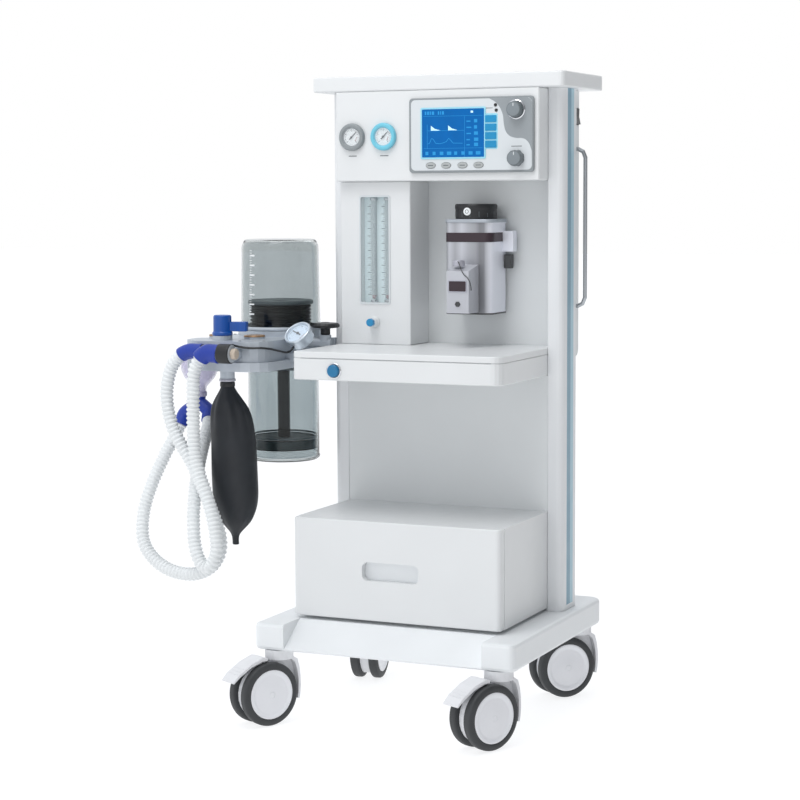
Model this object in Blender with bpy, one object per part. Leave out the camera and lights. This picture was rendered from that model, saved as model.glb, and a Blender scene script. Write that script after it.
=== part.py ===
"""Veterinary anesthesia machine: a castored trolley with a ventilator console, a flowmeter,
a vaporizer, a shelf, a drawer and a circle absorber with its breathing circuit.

Sizes below are millimetres in the machine's own axes. X points right for someone who stands
in front of it, Y points to its back, and Z up from the floor. X = 0 is the column's middle
plane and Y = 0 the front of its side panels. The helpers turn millimetres into metres.
"""
import math

import bmesh
import bpy
from mathutils import Matrix, Vector

MM = 0.001
GAP = 0.3                       # clearance left between pieces that touch

# ---- driving dimensions -------------------------------------------------------------
COLUMN_HALF = 251.3             # outside of the side panels
INNER_HALF = 219.0              # inside of the side panels
PANEL_DEPTH = 77.0
RECESS_Y = 60.5                 # back wall behind the vaporizer
SHELF_FRONT = -254.0            # shelf and drawer share one front plane
CONSOLE_FRONT = -50.0
FLOW_FRONT = -33.0

BASE_HALF = 273.0
BASE_FRONT = -325.0
BASE_BACK = 185.0
BASE_BOTTOM = 145.0
BASE_TOP = 198.0
RAMP_HALF = 208.0

DRAWER_BOTTOM = 205.0
DRAWER_TOP = 400.0
SHELF_BOTTOM = 672.0
SHELF_SEAM = 714.0
SHELF_TOP = 727.0
CONSOLE_BOTTOM = 1057.0
PLATE_BOTTOM = 1237.0
PLATE_TOP = 1267.0
PLATE_HALF = 271.0
PLATE_FRONT = -51.0
PLATE_BACK = 183.0
HOUSING_HALF = 240.0            # upper rear housing
HOUSING_BACK = 124.0
HOUSING_BOTTOM = 702.0
SWITCH_TILT = 5.0               # the rocker rests tipped one way by this many degrees

BEZEL = (-54.0, 210.0, 1073.0, 1220.0)      # X and Z limits of the ventilator bezel
BEZEL_FRONT = CONSOLE_FRONT - 6.5
SCREEN = (-25.5, 107.5, 1103.0, 1198.0)
KNOB_PLACES = {"mode_knob": (174.0, 1194.0), "adjust_knob": (175.0, 1100.0)}
BUTTON_XS = (-7.0, 26.0, 61.0, 95.0)
BUTTON_Z = 1087.5
GAUGE_PLACES = {"oxygen_gauge": -181.5, "pipeline_gauge": -111.5}
GAUGE_Z = 1146.0
GAUGE_R = 27.5

WINDOW = (-173.6, -109.4, 811.5, 1027.0)    # flowmeter window, X and Z limits
WINDOW_DEPTH = 20.0
FLOW_TUBE_XS = {"oxygen_float": -147.7, "nitrous_float": -117.0}
FLOW_TUBE_Y = -23.0
FLOW_TUBE_R = 5.0
FLOW_KNOB = (-143.0, 773.0)
FLUSH_PLACE = (-128.0, 691.0)

VAPORIZER = (10.0, 111.0, -31.0, 50.0)      # X and Y limits
VAPORIZER_Z = (792.0, 974.0, 981.0)         # bottom, top of body, top of lid
DIAL_R = 42.5
DIAL_AXIS = (63.0, 9.0)
FILLER_CAP_AXIS = (55.0, -63.0)
LOCK_AXIS = (44.0, 896.0)                   # Y and Z of the lock lever's pivot
LOCK_WIDTH = 14.0

WHEEL_R = 62.5
WHEEL_SIDES = 36
WHEEL_HALF_WIDTH = 31.0
FORK_HALF_WIDTH = 9.5
FENDER_HALF_WIDTH = 24.0                    # guard behind both wheels, on the stem's side
TRAIL = 38.0                                # castor stem to axle
STEM_R = 28.0
CASTORS = {                                 # stem X, stem Y, rest heading in degrees
    "front_left": (-232.0, -296.0, 241.7),
    "front_right": (232.0, -296.0, 243.7),
    "rear_left": (-232.0, 148.0, 280.0),
    "rear_right": (232.0, 148.0, 228.2),
}
PEDAL_PIVOT = (8.0, 130.0)                  # along the heading from the axle, and height

ABSORBER_TIERS = ((682.0, 700.0, 0.0), (700.0, 730.0, 10.0), (730.0, 742.0, 0.0))
DOME_AXIS = (-370.0, -10.0)
DOME_R = 84.0
DOME_TOP = 940.0
DOME_SEAT = 753.0
BELLOWS_R = 64.0
BELLOWS_TOP = 804.0
CANISTER_AXIS = (-365.0, -10.0)
CANISTER_R = 75.4
CANISTER_BOTTOM = 480.0
SELECTOR_AXIS = (-396.0, -213.0)
APL_AXIS = (-249.0, -45.0)
AIRWAY_FACE = (-260.0, -150.0, 756.0)       # centre of the airway gauge's face
AIRWAY_NORMAL = (-0.166, -0.676, 0.720)
AIRWAY_R = 29.0
BAG_NECK = (-396.0, -195.0)
BAG_NECK_BOTTOM = 657.0
Y_PIECE = (-503.0, -120.0, 616.0)           # top of the patient port
MASK_TOP = 702.0
MASK_R = 42.0
HOSE_R = 14.0

# Routes of the cords, chosen by hand along the way the real hoses hang.
FRONT_HOSE_ROUTE = (
    (-375, -290, 721), (-387, -290, 721), (-401, -290.5, 713), (-412, -291, 697), (-418, -292, 678),
    (-420, -292, 647), (-421, -292, 576), (-418, -293, 522), (-407, -295, 479), (-390, -298, 440),
    (-375, -301, 396), (-366, -303, 352), (-367, -304, 321), (-383, -304, 296), (-404, -301, 304),
    (-421, -293, 337), (-432, -278, 384), (-439, -261, 422), (-445, -241, 460), (-451, -216, 497),
    (-458, -185, 532), (-466, -152, 560), (-475, -135, 575.5),
)
BACK_HOSE_ROUTE = (
    (-428, -264.5, 722), (-442, -264.5, 722), (-462, -264.7, 714), (-480, -265, 696), (-490, -267, 671),
    (-495, -268, 636), (-492, -268, 602), (-483, -267, 568), (-466, -266, 535), (-444, -266, 503),
    (-426, -266, 468), (-408, -266, 430), (-391, -266, 391), (-378, -266, 352), (-380, -266, 318),
    (-398, -266, 291), (-427, -265, 275), (-462, -262, 270), (-502, -257, 275), (-541, -249, 292),
    (-570, -239, 319), (-583, -226, 354), (-586, -208, 396), (-579, -190, 440), (-566, -170, 486),
    (-554, -150, 524), (-544, -136, 553), (-539.5, -131, 566.5),
)
SAMPLING_TUBE_ROUTE = (
    (-338, -279, 738), (-329, -269, 734), (-309, -260, 731), (-289, -250, 731), (-279, -230, 728),
    (-273, -202, 722), (-269, -180, 718), (-264.3, -167.9, 721.7), (-262.8, -161.6, 727.9),
)
END_LEAD = 4.0                  # straight length that squares off each end of a cord
CORD_NODES = ("front_hose", "back_hose", "y_piece", "face_mask")

# ---- colours -------------------------------------------------------------------------
WHITE = (0.80, 0.82, 0.83)
LIGHT_GREY = (0.62, 0.64, 0.65)
MID_GREY = (0.30, 0.32, 0.34)
BLACK = (0.02, 0.022, 0.024)
SILVER = (0.62, 0.63, 0.66)
CLEAR = (0.70, 0.76, 0.80)
CYAN = (0.10, 0.50, 0.60)
BLUE = (0.01, 0.10, 0.40)
SCREEN_BLUE = (0.0, 0.16, 0.60)
RED = (0.35, 0.03, 0.03)
VIOLET = (0.62, 0.60, 0.72)

materials = {}


def clear_scene():
    for old in list(bpy.data.objects):
        bpy.data.objects.remove(old, do_unlink=True)


def material(name, colour, roughness=0.4, metallic=0.0, alpha=1.0):
    if name not in materials:
        made = bpy.data.materials.new(name)
        made.use_nodes = True
        shader = made.node_tree.nodes["Principled BSDF"]
        shader.inputs["Base Color"].default_value = (*colour, 1.0)
        shader.inputs["Roughness"].default_value = roughness
        shader.inputs["Metallic"].default_value = metallic
        shader.inputs["Alpha"].default_value = alpha
        materials[name] = made
    return materials[name]


def white():
    return material("white_enamel", WHITE, 0.35)


def grey():
    return material("grey_plastic", LIGHT_GREY, 0.45)


def dark():
    return material("black_plastic", BLACK, 0.45)


def silver():
    return material("cast_aluminium", SILVER, 0.35, 0.9)


def clear():
    return material("clear_plastic", CLEAR, 0.1, 0.0, 0.35)


# ---- helpers -------------------------------------------------------------------------
def make_object(name, bm, finish, location=(0, 0, 0), parent=None, sharp=35.0):
    """Turn a bmesh in millimetres, local to location, into a named object."""
    bmesh.ops.recalc_face_normals(bm, faces=bm.faces)
    bm.transform(Matrix.Scale(MM, 4))
    mesh = bpy.data.meshes.new(name)
    bm.to_mesh(mesh)
    bm.free()
    mesh.shade_smooth()
    mesh.set_sharp_from_angle(angle=math.radians(sharp))
    if finish:
        mesh.materials.append(finish)
    made = bpy.data.objects.new(name, mesh)
    made.location = Vector(location) * MM
    made.parent = parent or machine
    bpy.context.scene.collection.objects.link(made)
    return made


def bevel(piece, width, segments=1, angle=40.0):
    """Round the sharp edges of a piece."""
    cut = piece.modifiers.new("bevel", "BEVEL")
    cut.width = width * MM
    cut.segments = segments
    cut.limit_method = "ANGLE"
    cut.angle_limit = math.radians(angle)
    return piece


def combine(piece, other, operation):
    """Add, or cut away, another solid, which stays as a hidden guide."""
    step = piece.modifiers.new(operation.lower(), "BOOLEAN")
    step.operation = operation
    step.object = other
    other.hide_render = True
    other.display_type = "WIRE"
    return piece


def arc_points(centre, radius, start, end, steps):
    """Points on a circle from one angle to another, in degrees."""
    points = []
    for i in range(steps + 1):
        angle = math.radians(start + (end - start) * i / steps)
        points.append((centre[0] + radius * math.cos(angle), centre[1] + radius * math.sin(angle)))
    return points


def rounded_outline(corners, steps=4):
    """Replace each (x, y, radius) corner of a closed outline by an arc."""
    points = []
    for i, (x, y, radius) in enumerate(corners):
        corner = Vector((x, y))
        before = Vector(corners[i - 1][:2]) - corner
        after = Vector(corners[(i + 1) % len(corners)][:2]) - corner
        if radius <= 0:
            points.append((x, y))
            continue
        half = before.angle(after) / 2
        reach = radius / math.tan(half)
        start = corner + before.normalized() * reach
        end = corner + after.normalized() * reach
        centre = corner + (before.normalized() + after.normalized()).normalized() * (radius / math.sin(half))
        first = math.atan2(start.y - centre.y, start.x - centre.x)
        turn = math.atan2(end.y - centre.y, end.x - centre.x) - first
        turn = (turn + math.pi) % (2 * math.pi) - math.pi
        for k in range(steps + 1):
            angle = first + turn * k / steps
            points.append((centre.x + radius * math.cos(angle), centre.y + radius * math.sin(angle)))
    return points


def rectangle(x0, x1, y0, y1, radii=(0, 0, 0, 0)):
    """Corners of a rectangle with a radius at (x0,y0), (x1,y0), (x1,y1) and (x0,y1)."""
    return [(x0, y0, radii[0]), (x1, y0, radii[1]), (x1, y1, radii[2]), (x0, y1, radii[3])]


def prism(name, outline, low, high, finish, axis="Z", **placing):
    """Extrude a flat outline: (x, y) along Z, (x, z) along Y, or (y, z) along X."""
    bm = bmesh.new()
    spread = {
        "Z": lambda a, b, c: (a, b, c),
        "Y": lambda a, b, c: (a, c, b),
        "X": lambda a, b, c: (c, a, b),
    }[axis]
    bottom = [bm.verts.new(spread(a, b, low)) for a, b in outline]
    top = [bm.verts.new(spread(a, b, high)) for a, b in outline]
    bm.faces.new(bottom)
    bm.faces.new(top)
    for i in range(len(outline)):
        j = (i + 1) % len(outline)
        bm.faces.new((bottom[i], bottom[j], top[j], top[i]))
    return make_object(name, bm, finish, **placing)


def box(name, x0, x1, y0, y1, z0, z1, finish=None, **placing):
    return prism(name, [(x0, y0), (x1, y0), (x1, y1), (x0, y1)], z0, z1, finish, **placing)


def turned(name, profile, finish, sides=24, axis=(0, 0, 1), phase=0.0, stretch=(1, 1), **placing):
    """Turn a profile of (radius, height) points about an axis; radius 0 closes an end."""
    bm = bmesh.new()
    turn = Vector((0, 0, 1)).rotation_difference(Vector(axis)).to_matrix()
    rings = []
    for radius, height in profile:
        if radius == 0:
            rings.append([bm.verts.new(turn @ Vector((0, 0, height)))])
            continue
        ring = []
        for i in range(sides):
            angle = 2 * math.pi * (i + phase) / sides
            place = Vector((radius * stretch[0] * math.cos(angle), radius * stretch[1] * math.sin(angle), height))
            ring.append(bm.verts.new(turn @ place))
        rings.append(ring)
    pairs = list(zip(rings, rings[1:]))
    if len(rings[0]) > 1:
        pairs.append((rings[-1], rings[0]))
    for lower, upper in pairs:
        for i in range(sides):
            j = (i + 1) % sides
            if len(lower) == 1:
                bm.faces.new((lower[0], upper[i], upper[j]))
            elif len(upper) == 1:
                bm.faces.new((lower[i], lower[j], upper[0]))
            else:
                bm.faces.new((lower[i], lower[j], upper[j], upper[i]))
    return make_object(name, bm, finish, **placing)


def rod(name, start, end, radius, finish=None, sides=20, **placing):
    """A plain round bar between two points."""
    start = Vector(start)
    run = Vector(end) - start
    profile = [(0, 0), (radius, 0), (radius, run.length), (0, run.length)]
    return turned(name, profile, finish, sides, axis=run, location=start, **placing)


def smooth_route(route, spacing):
    """Points at an even spacing along a smooth curve through the route's own points."""
    knots = [Vector(point) for point in route]
    knots = [knots[0] * 2 - knots[1]] + knots + [knots[-1] * 2 - knots[-2]]
    fine = []
    for i in range(1, len(knots) - 2):
        a, b, c, d = knots[i - 1:i + 3]
        for k in range(12):
            t = k / 12
            fine.append(0.5 * ((2 * b) + (c - a) * t + (2 * a - 5 * b + 4 * c - d) * t ** 2
                               + (3 * b - a - 3 * c + d) * t ** 3))
    fine.append(knots[-2])
    total = sum((q - p).length for p, q in zip(fine, fine[1:]))
    count = max(2, round(total / spacing))
    points = [fine[0]]
    travelled = 0.0
    for p, q in zip(fine, fine[1:]):
        step = (q - p).length
        while len(points) < count and travelled + step >= total * len(points) / count:
            part = (total * len(points) / count - travelled) / step
            points.append(p.lerp(q, part))
        travelled += step
    points.append(fine[-1])
    square_start = points[0] + (knots[2] - knots[1]).normalized() * END_LEAD
    square_end = points[-1] + (knots[-3] - knots[-2]).normalized() * END_LEAD
    return [points[0], square_start, *points[1:-1], square_end, points[-1]]


def tube(name, points, radius, finish, resolution=2, parent=None):
    """A round tube with closed ends along a list of points."""
    curve = bpy.data.curves.new(name, "CURVE")
    curve.dimensions = "3D"
    curve.bevel_depth = radius * MM
    curve.bevel_resolution = resolution
    curve.use_fill_caps = True
    spline = curve.splines.new("POLY")
    spline.points.add(len(points) - 1)
    for place, point in zip(spline.points, points):
        place.co = (*(Vector(point) * MM), 1.0)
    if finish:
        curve.materials.append(finish)
    made = bpy.data.objects.new(name, curve)
    made.parent = parent or machine
    bpy.context.scene.collection.objects.link(made)
    return made


def pipe(name, points, radius, finish, sides=10, **placing):
    """A round bent bar as a mesh, so that it can be joined to another piece."""
    bm = bmesh.new()
    points = [Vector(point) for point in points]
    across = Vector((0.31, 0.17, 0.93))
    rings = []
    for i, point in enumerate(points):
        run = points[min(i + 1, len(points) - 1)] - points[max(i - 1, 0)]
        across = (across - run * across.dot(run) / run.length_squared).normalized()
        other = run.normalized().cross(across)
        ring = []
        for k in range(sides):
            angle = 2 * math.pi * k / sides
            ring.append(bm.verts.new(point + (across * math.cos(angle) + other * math.sin(angle)) * radius))
        rings.append(ring)
    bm.faces.new(rings[0])
    bm.faces.new(rings[-1])
    for lower, upper in zip(rings, rings[1:]):
        for k in range(sides):
            j = (k + 1) % sides
            bm.faces.new((lower[k], lower[j], upper[j], upper[k]))
    return make_object(name, bm, finish, **placing)


def empty(name, location, heading=0.0, parent=None):
    made = bpy.data.objects.new(name, None)
    made.location = Vector(location) * MM
    made.rotation_euler.z = math.radians(heading)
    made.parent = parent or machine
    bpy.context.scene.collection.objects.link(made)
    return made


# ---- trolley -------------------------------------------------------------------------
def build_base():
    """Base tray: a thick rounded slab with a ramp cut into the middle of its front."""
    outline = rounded_outline(rectangle(-BASE_HALF, BASE_HALF, BASE_FRONT, BASE_BACK, (14, 14, 24, 24)))
    tray = prism("base_tray", outline, BASE_BOTTOM, BASE_TOP, white())
    bevel(tray, 7, 2)
    ramp = [(SHELF_FRONT, BASE_TOP - 2), (SHELF_FRONT, BASE_TOP + 20), (BASE_FRONT - 20, BASE_TOP + 20),
            (BASE_FRONT - 20, BASE_BOTTOM + 3), (BASE_FRONT, BASE_BOTTOM + 3)]
    combine(tray, prism("ramp_cutter", ramp, -RAMP_HALF, RAMP_HALF, None, "X"), "DIFFERENCE")


def build_side_panels():
    for name, side in (("left_side_panel", -1), ("right_side_panel", 1)):
        corners = [(side * INNER_HALF, 0, 1.5), (side * COLUMN_HALF, 0, 14),
                   (side * COLUMN_HALF, PANEL_DEPTH, 2.5), (side * INNER_HALF, PANEL_DEPTH, 0)]
        prism(name, rounded_outline(corners), BASE_TOP + GAP, PLATE_BOTTOM - GAP, white())


def build_column_core():
    """Folded inner column: a flush lower front, and an upper wall set back behind the recess."""
    low = BASE_TOP + GAP
    profile = [(1.5, low), (12, low), (12, 660), (64, 660), (64, low), (72, low), (72, PLATE_BOTTOM - GAP),
               (RECESS_Y, PLATE_BOTTOM - GAP), (RECESS_Y, SHELF_BOTTOM - GAP), (1.5, SHELF_BOTTOM - GAP)]
    prism("column_core", profile, -INNER_HALF + GAP, INNER_HALF - GAP, white(), "X")


def build_rear_housing():
    """Shell behind the column for the ventilator drive and the power supply."""
    top = PLATE_BOTTOM - GAP
    profile = rounded_outline([(PANEL_DEPTH + GAP, HOUSING_BOTTOM, 0), (HOUSING_BACK, HOUSING_BOTTOM, 16),
                               (HOUSING_BACK, top, 0), (PANEL_DEPTH + GAP, top, 0)])
    housing = prism("rear_housing", profile, -HOUSING_HALF, HOUSING_HALF, white(), "X")
    bevel(housing, 2)
    hollow = box("rear_hollow_cutter", -HOUSING_HALF + 4, HOUSING_HALF - 4, PANEL_DEPTH - 10, HOUSING_BACK - 4,
                 HOUSING_BOTTOM + 5, top - 4)
    combine(housing, hollow, "DIFFERENCE")
    window = box("switch_hole_cutter", HOUSING_HALF - 10, HOUSING_HALF + 10, 94.5, 121.0, 1167, 1201)
    combine(housing, window, "DIFFERENCE")
    pivot = (HOUSING_HALF, 107.8, 1184)
    rocker = [(-6, -15.5), (3, -15.5), (1, 0), (3, 15.5), (-6, 15.5)]
    switch = prism("power_switch", rocker, -12.5, 12.5, dark(), "Y", location=pivot)
    switch.rotation_euler.y = -math.radians(SWITCH_TILT)


def build_top_plate():
    outline = rounded_outline(rectangle(-PLATE_HALF, PLATE_HALF, PLATE_FRONT, PLATE_BACK, (8, 12, 12, 8)))
    bevel(prism("top_plate", outline, PLATE_BOTTOM, PLATE_TOP, white()), 2.5, 2)


def build_push_handle():
    """Bent round bar on the right side of the rear housing."""
    route = [(HOUSING_HALF + GAP, 90, 1119), (250, 90, 1119), (260, 90, 1114), (265, 90, 1102), (265, 90, 960),
             (265, 90, 823), (260, 90, 811), (250, 90, 806), (HOUSING_HALF + GAP, 90, 806)]
    tube("push_handle", route, 4.3, silver(), 2)


def build_shelf():
    half = INNER_HALF - GAP
    outline = rounded_outline(rectangle(-half, half, SHELF_FRONT, RECESS_Y - GAP, (10, 20, 0, 0)))
    bevel(prism("worktop", outline, SHELF_SEAM + GAP, SHELF_TOP, white()), 1.5)
    body = prism("shelf_body", outline, SHELF_BOTTOM, SHELF_SEAM, white())
    bevel(body, 1.5)
    hollow = box("shelf_hollow_cutter", -half + 6, half - 6, SHELF_FRONT + 20, RECESS_Y - 8,
                 SHELF_BOTTOM - 10, SHELF_SEAM - 7)
    combine(body, hollow, "DIFFERENCE")
    x, z = FLUSH_PLACE
    pocket = rod("flush_pocket_cutter", (x, SHELF_FRONT - 10, z), (x, SHELF_FRONT + 14, z), 13.3)
    combine(body, pocket, "DIFFERENCE")
    profile = [(0, -8), (12.4, -8), (12.4, 6), (11, 8), (0, 8)]
    turned("oxygen_flush_button", profile, material("cyan_plastic", CYAN, 0.3), 28, axis=(0, -1, 0),
           location=(x, SHELF_FRONT, z))


def build_drawer():
    """Cabinet under the column, and the drawer that slides out of it."""
    half = INNER_HALF - GAP
    split = SHELF_FRONT + 21.6
    cabinet = box("drawer_cabinet", -half, half, split, 1.5 - GAP, DRAWER_BOTTOM, DRAWER_TOP, white())
    hollow = box("cabinet_hollow_cutter", -half + 6, half - 6, split - 10, -6, DRAWER_BOTTOM + 6, DRAWER_TOP - 6)
    combine(cabinet, hollow, "DIFFERENCE")
    plinth = box("plinth_guide", -half + 12, half - 12, split + 6, -4, BASE_TOP + GAP, DRAWER_BOTTOM + 3)
    combine(cabinet, plinth, "UNION")

    front_outline = rounded_outline(rectangle(-half, half, SHELF_FRONT, split - GAP, (6, 10, 0, 0)))
    drawer = prism("drawer", front_outline, DRAWER_BOTTOM, DRAWER_TOP, white())
    bevel(drawer, 2)
    slot_outline = rounded_outline(rectangle(-71, 49, 283, 320, (12, 12, 12, 12)))
    slot = prism("grip_slot_cutter", slot_outline, SHELF_FRONT - 5, SHELF_FRONT + 16, None, "Y")
    combine(drawer, slot, "DIFFERENCE")
    tray = box("drawer_tray_guide", -half + 10, half - 10, split - 3, -12, DRAWER_BOTTOM + 9, 360)
    combine(drawer, tray, "UNION")
    inside = box("tray_hollow_cutter", -half + 15, half - 15, split + 4, -17, DRAWER_BOTTOM + 14, 380)
    combine(drawer, inside, "DIFFERENCE")


# ---- castors -------------------------------------------------------------------------
def build_castor(name, stem_x, stem_y, heading, braked):
    """Twin-wheel castor: +X of its empty is the heading, from the stem to the axle."""
    pivot = empty(name + "_pivot", (stem_x, stem_y, 0), heading)
    axle_height = WHEEL_R * math.cos(math.pi / WHEEL_SIDES)

    hood = ([(-29.5, 50), (22, 14)] + arc_points((TRAIL, axle_height), 53, -70, 110, 12)
            + [(20, 130), (-20, 130), (-29, 113), (-31.5, 90), (-32, 70)])
    fork = prism(name + "_fork", hood, -FORK_HALF_WIDTH, FORK_HALF_WIDTH, grey(), "Y", parent=pivot)
    fender = [(-16, 131), (-27, 124), (-31.5, 108), (-34, 90), (-34.5, 72), (-33.5, 56), (-31, 44),
              (-26.5, 45), (-28.5, 57), (-29.3, 72), (-28.7, 89), (-26, 105), (-21, 118), (-12, 126.5)]
    guard = prism(name + "_fender_guide", fender, -FENDER_HALF_WIDTH, FENDER_HALF_WIDTH, None, "Y", parent=pivot)
    combine(fork, guard, "UNION")
    stem = rod(name + "_stem_guide", (0, 0, 126), (0, 0, BASE_BOTTOM - GAP), STEM_R, sides=20, parent=pivot)
    combine(fork, stem, "UNION")
    bore = rod(name + "_bore_cutter", (TRAIL, -20, axle_height), (TRAIL, 20, axle_height), 6.6, parent=pivot)
    combine(fork, bore, "DIFFERENCE")

    inner = FORK_HALF_WIDTH + 0.8
    side = [(6.0, inner), (WHEEL_R - 4, inner), (WHEEL_R, inner + 4), (WHEEL_R, WHEEL_HALF_WIDTH - 6),
            (WHEEL_R - 5, WHEEL_HALF_WIDTH - 1), (0, WHEEL_HALF_WIDTH)]
    profile = [(r, -w) for r, w in reversed(side)] + side
    turned(name + "_wheels", profile, material("tyre_rubber", BLACK, 0.7), WHEEL_SIDES, axis=(0, 1, 0),
           phase=0.5, location=(TRAIL, 0, axle_height), parent=pivot)

    if braked:
        along, height = PEDAL_PIVOT
        lug = box(name + "_lug_guide", TRAIL + along - 7, TRAIL + along + 1, -FORK_HALF_WIDTH, FORK_HALF_WIDTH,
                  108, height - 2.5 - GAP, parent=pivot)
        combine(fork, lug, "UNION")
        paddle = [(-6, 3), (6, 6), (34, -4), (62, -21), (76, -35), (73, -37.5), (59, -26.5), (33, -11),
                  (6, -2.5), (-6, -2.5)]
        bevel(prism(name + "_brake_pedal", paddle, -21, 21, grey(), "Y",
                    location=(TRAIL + along, 0, height), parent=pivot), 1)


# ---- console -------------------------------------------------------------------------
def build_console():
    half = INNER_HALF - GAP
    top = PLATE_BOTTOM - GAP
    console = box("console_housing", -half, half, CONSOLE_FRONT, RECESS_Y - GAP, CONSOLE_BOTTOM, top, white())
    bevel(console, 2)
    hollow = box("console_hollow_cutter", -half + 5, half - 5, CONSOLE_FRONT + 6, RECESS_Y + 10,
                 CONSOLE_BOTTOM + 5, top - 5)
    combine(console, hollow, "DIFFERENCE")

    x0, x1, z0, z1 = BEZEL
    outline = rounded_outline(rectangle(x0, x1, z0, z1, (7, 7, 7, 7)))
    bezel = prism("ventilator_bezel", outline, BEZEL_FRONT, CONSOLE_FRONT - GAP, grey(), "Y")
    bevel(bezel, 1)
    for index, x in enumerate(BUTTON_XS):
        pocket = turned(f"button_pocket_cutter_{index}", [(0, -4), (1, -4), (1, 10), (0, 10)], None, 16,
                        axis=(0, -1, 0), stretch=(10.9, 6.4), location=(x, BEZEL_FRONT, BUTTON_Z))
        combine(bezel, pocket, "DIFFERENCE")
        profile = [(0, -1.8), (1, -1.8), (1, 1.2), (0.9, 2), (0, 2)]
        turned(f"function_button_{index + 1}", profile, grey(), 20, axis=(0, -1, 0), stretch=(10.3, 5.8),
               location=(x, BEZEL_FRONT, BUTTON_Z))

    sx0, sx1, sz0, sz1 = SCREEN
    screen = rounded_outline(rectangle(sx0, sx1, sz0, sz1, (2, 2, 2, 2)), 2)
    prism("display_screen", screen, BEZEL_FRONT - 1.5, BEZEL_FRONT - GAP, material("screen", SCREEN_BLUE, 0.2), "Y")

    for name, (x, z) in KNOB_PLACES.items():
        profile = [(0, 0), (16.5, 0), (16.5, 2), (15.5, 3), (15, 15), (13.5, 17), (0, 17)]
        turned(name, profile, material("knob_grey", MID_GREY, 0.4), 24, axis=(0, -1, 0),
               location=(x, BEZEL_FRONT - GAP, z))


def build_pressure_gauges():
    """Two panel gauges, each with a raised rim round a sunk dial, and their needles."""
    for name, x in GAUGE_PLACES.items():
        place = (x, CONSOLE_FRONT - GAP, GAUGE_Z)
        finish = grey() if name == "oxygen_gauge" else material("cyan_ring", CYAN, 0.35)
        profile = [(0, 0), (GAUGE_R, 0), (GAUGE_R, 7), (GAUGE_R - 3, 9), (18.5, 9), (17, 4), (0, 4)]
        turned(name, profile, finish, 32, axis=(0, -1, 0), location=place)
        build_needle(name.replace("gauge", "needle"), 14, (x, CONSOLE_FRONT - GAP - 4.3, GAUGE_Z), (0, -1, 0), 45)


def build_needle(name, length, place, normal, angle):
    """Pointer with a short tail, lying on a dial whose outward direction is normal."""
    bm = bmesh.new()
    out = Vector(normal).normalized()
    up = (Vector((0, 0, 1)) - out * out.z).normalized()
    turn = Matrix.Rotation(-math.radians(angle), 3, out)
    along = turn @ up
    across = along.cross(out)
    outline = [(-length * 0.45, -1.2), (length, -0.5), (length, 0.5), (-length * 0.45, 1.2)]
    rings = []
    for lift in (0.0, 1.2):
        rings.append([bm.verts.new(along * a + across * b + out * lift) for a, b in outline])
    bm.faces.new(rings[0])
    bm.faces.new(rings[1])
    for i in range(4):
        j = (i + 1) % 4
        bm.faces.new((rings[0][i], rings[0][j], rings[1][j], rings[1][i]))
    make_object(name, bm, dark(), location=place)


def build_flowmeter():
    """Flowmeter housing with a sunk window, its tube block, two floats and the flow knob."""
    x0, x1, z0, z1 = WINDOW
    housing = box("flowmeter_housing", -INNER_HALF + GAP, -63, FLOW_FRONT, RECESS_Y - GAP, SHELF_TOP + GAP,
                  CONSOLE_BOTTOM - GAP, white())
    bevel(housing, 1.5)
    pocket_outline = rounded_outline(rectangle(x0, x1, z0, z1, (4, 4, 4, 4)))
    pocket = prism("window_cutter", pocket_outline, FLOW_FRONT - 5, FLOW_FRONT + WINDOW_DEPTH, None, "Y")
    combine(housing, pocket, "DIFFERENCE")
    hollow = box("flowmeter_hollow_cutter", -INNER_HALF + 6, -69, FLOW_FRONT + WINDOW_DEPTH + 5, RECESS_Y + 10,
                 SHELF_TOP + 6, CONSOLE_BOTTOM - 6)
    combine(housing, hollow, "DIFFERENCE")

    block_outline = rounded_outline(rectangle(x0 + GAP, x1 - GAP, z0 + GAP, z1 - GAP, (4, 4, 4, 4)))
    block = prism("flow_tube_block", block_outline, FLOW_FRONT + 2, FLOW_FRONT + WINDOW_DEPTH - GAP, clear(), "Y")
    for name, x in FLOW_TUBE_XS.items():
        bore = rod(name + "_bore_cutter", (x, FLOW_TUBE_Y, z0 + 6), (x, FLOW_TUBE_Y, z1 + 10), FLOW_TUBE_R, sides=16)
        combine(block, bore, "DIFFERENCE")
        profile = [(0, 0), (2.5, 0), (4.4, 3), (4.4, 8), (0, 8)]
        turned(name, profile, material("float_red", RED, 0.4), 12, location=(x, FLOW_TUBE_Y, z0 + 8))

    x, z = FLOW_KNOB
    profile = [(0, 0), (12, 0), (12, 3), (9.5, 4), (9.5, 15), (8, 16), (8, 24), (7, 25), (0, 25)]
    turned("flow_control_knob", profile, material("cyan_plastic", CYAN, 0.3), 24, axis=(0, -1, 0),
           location=(x, FLOW_FRONT - GAP, z))


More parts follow.
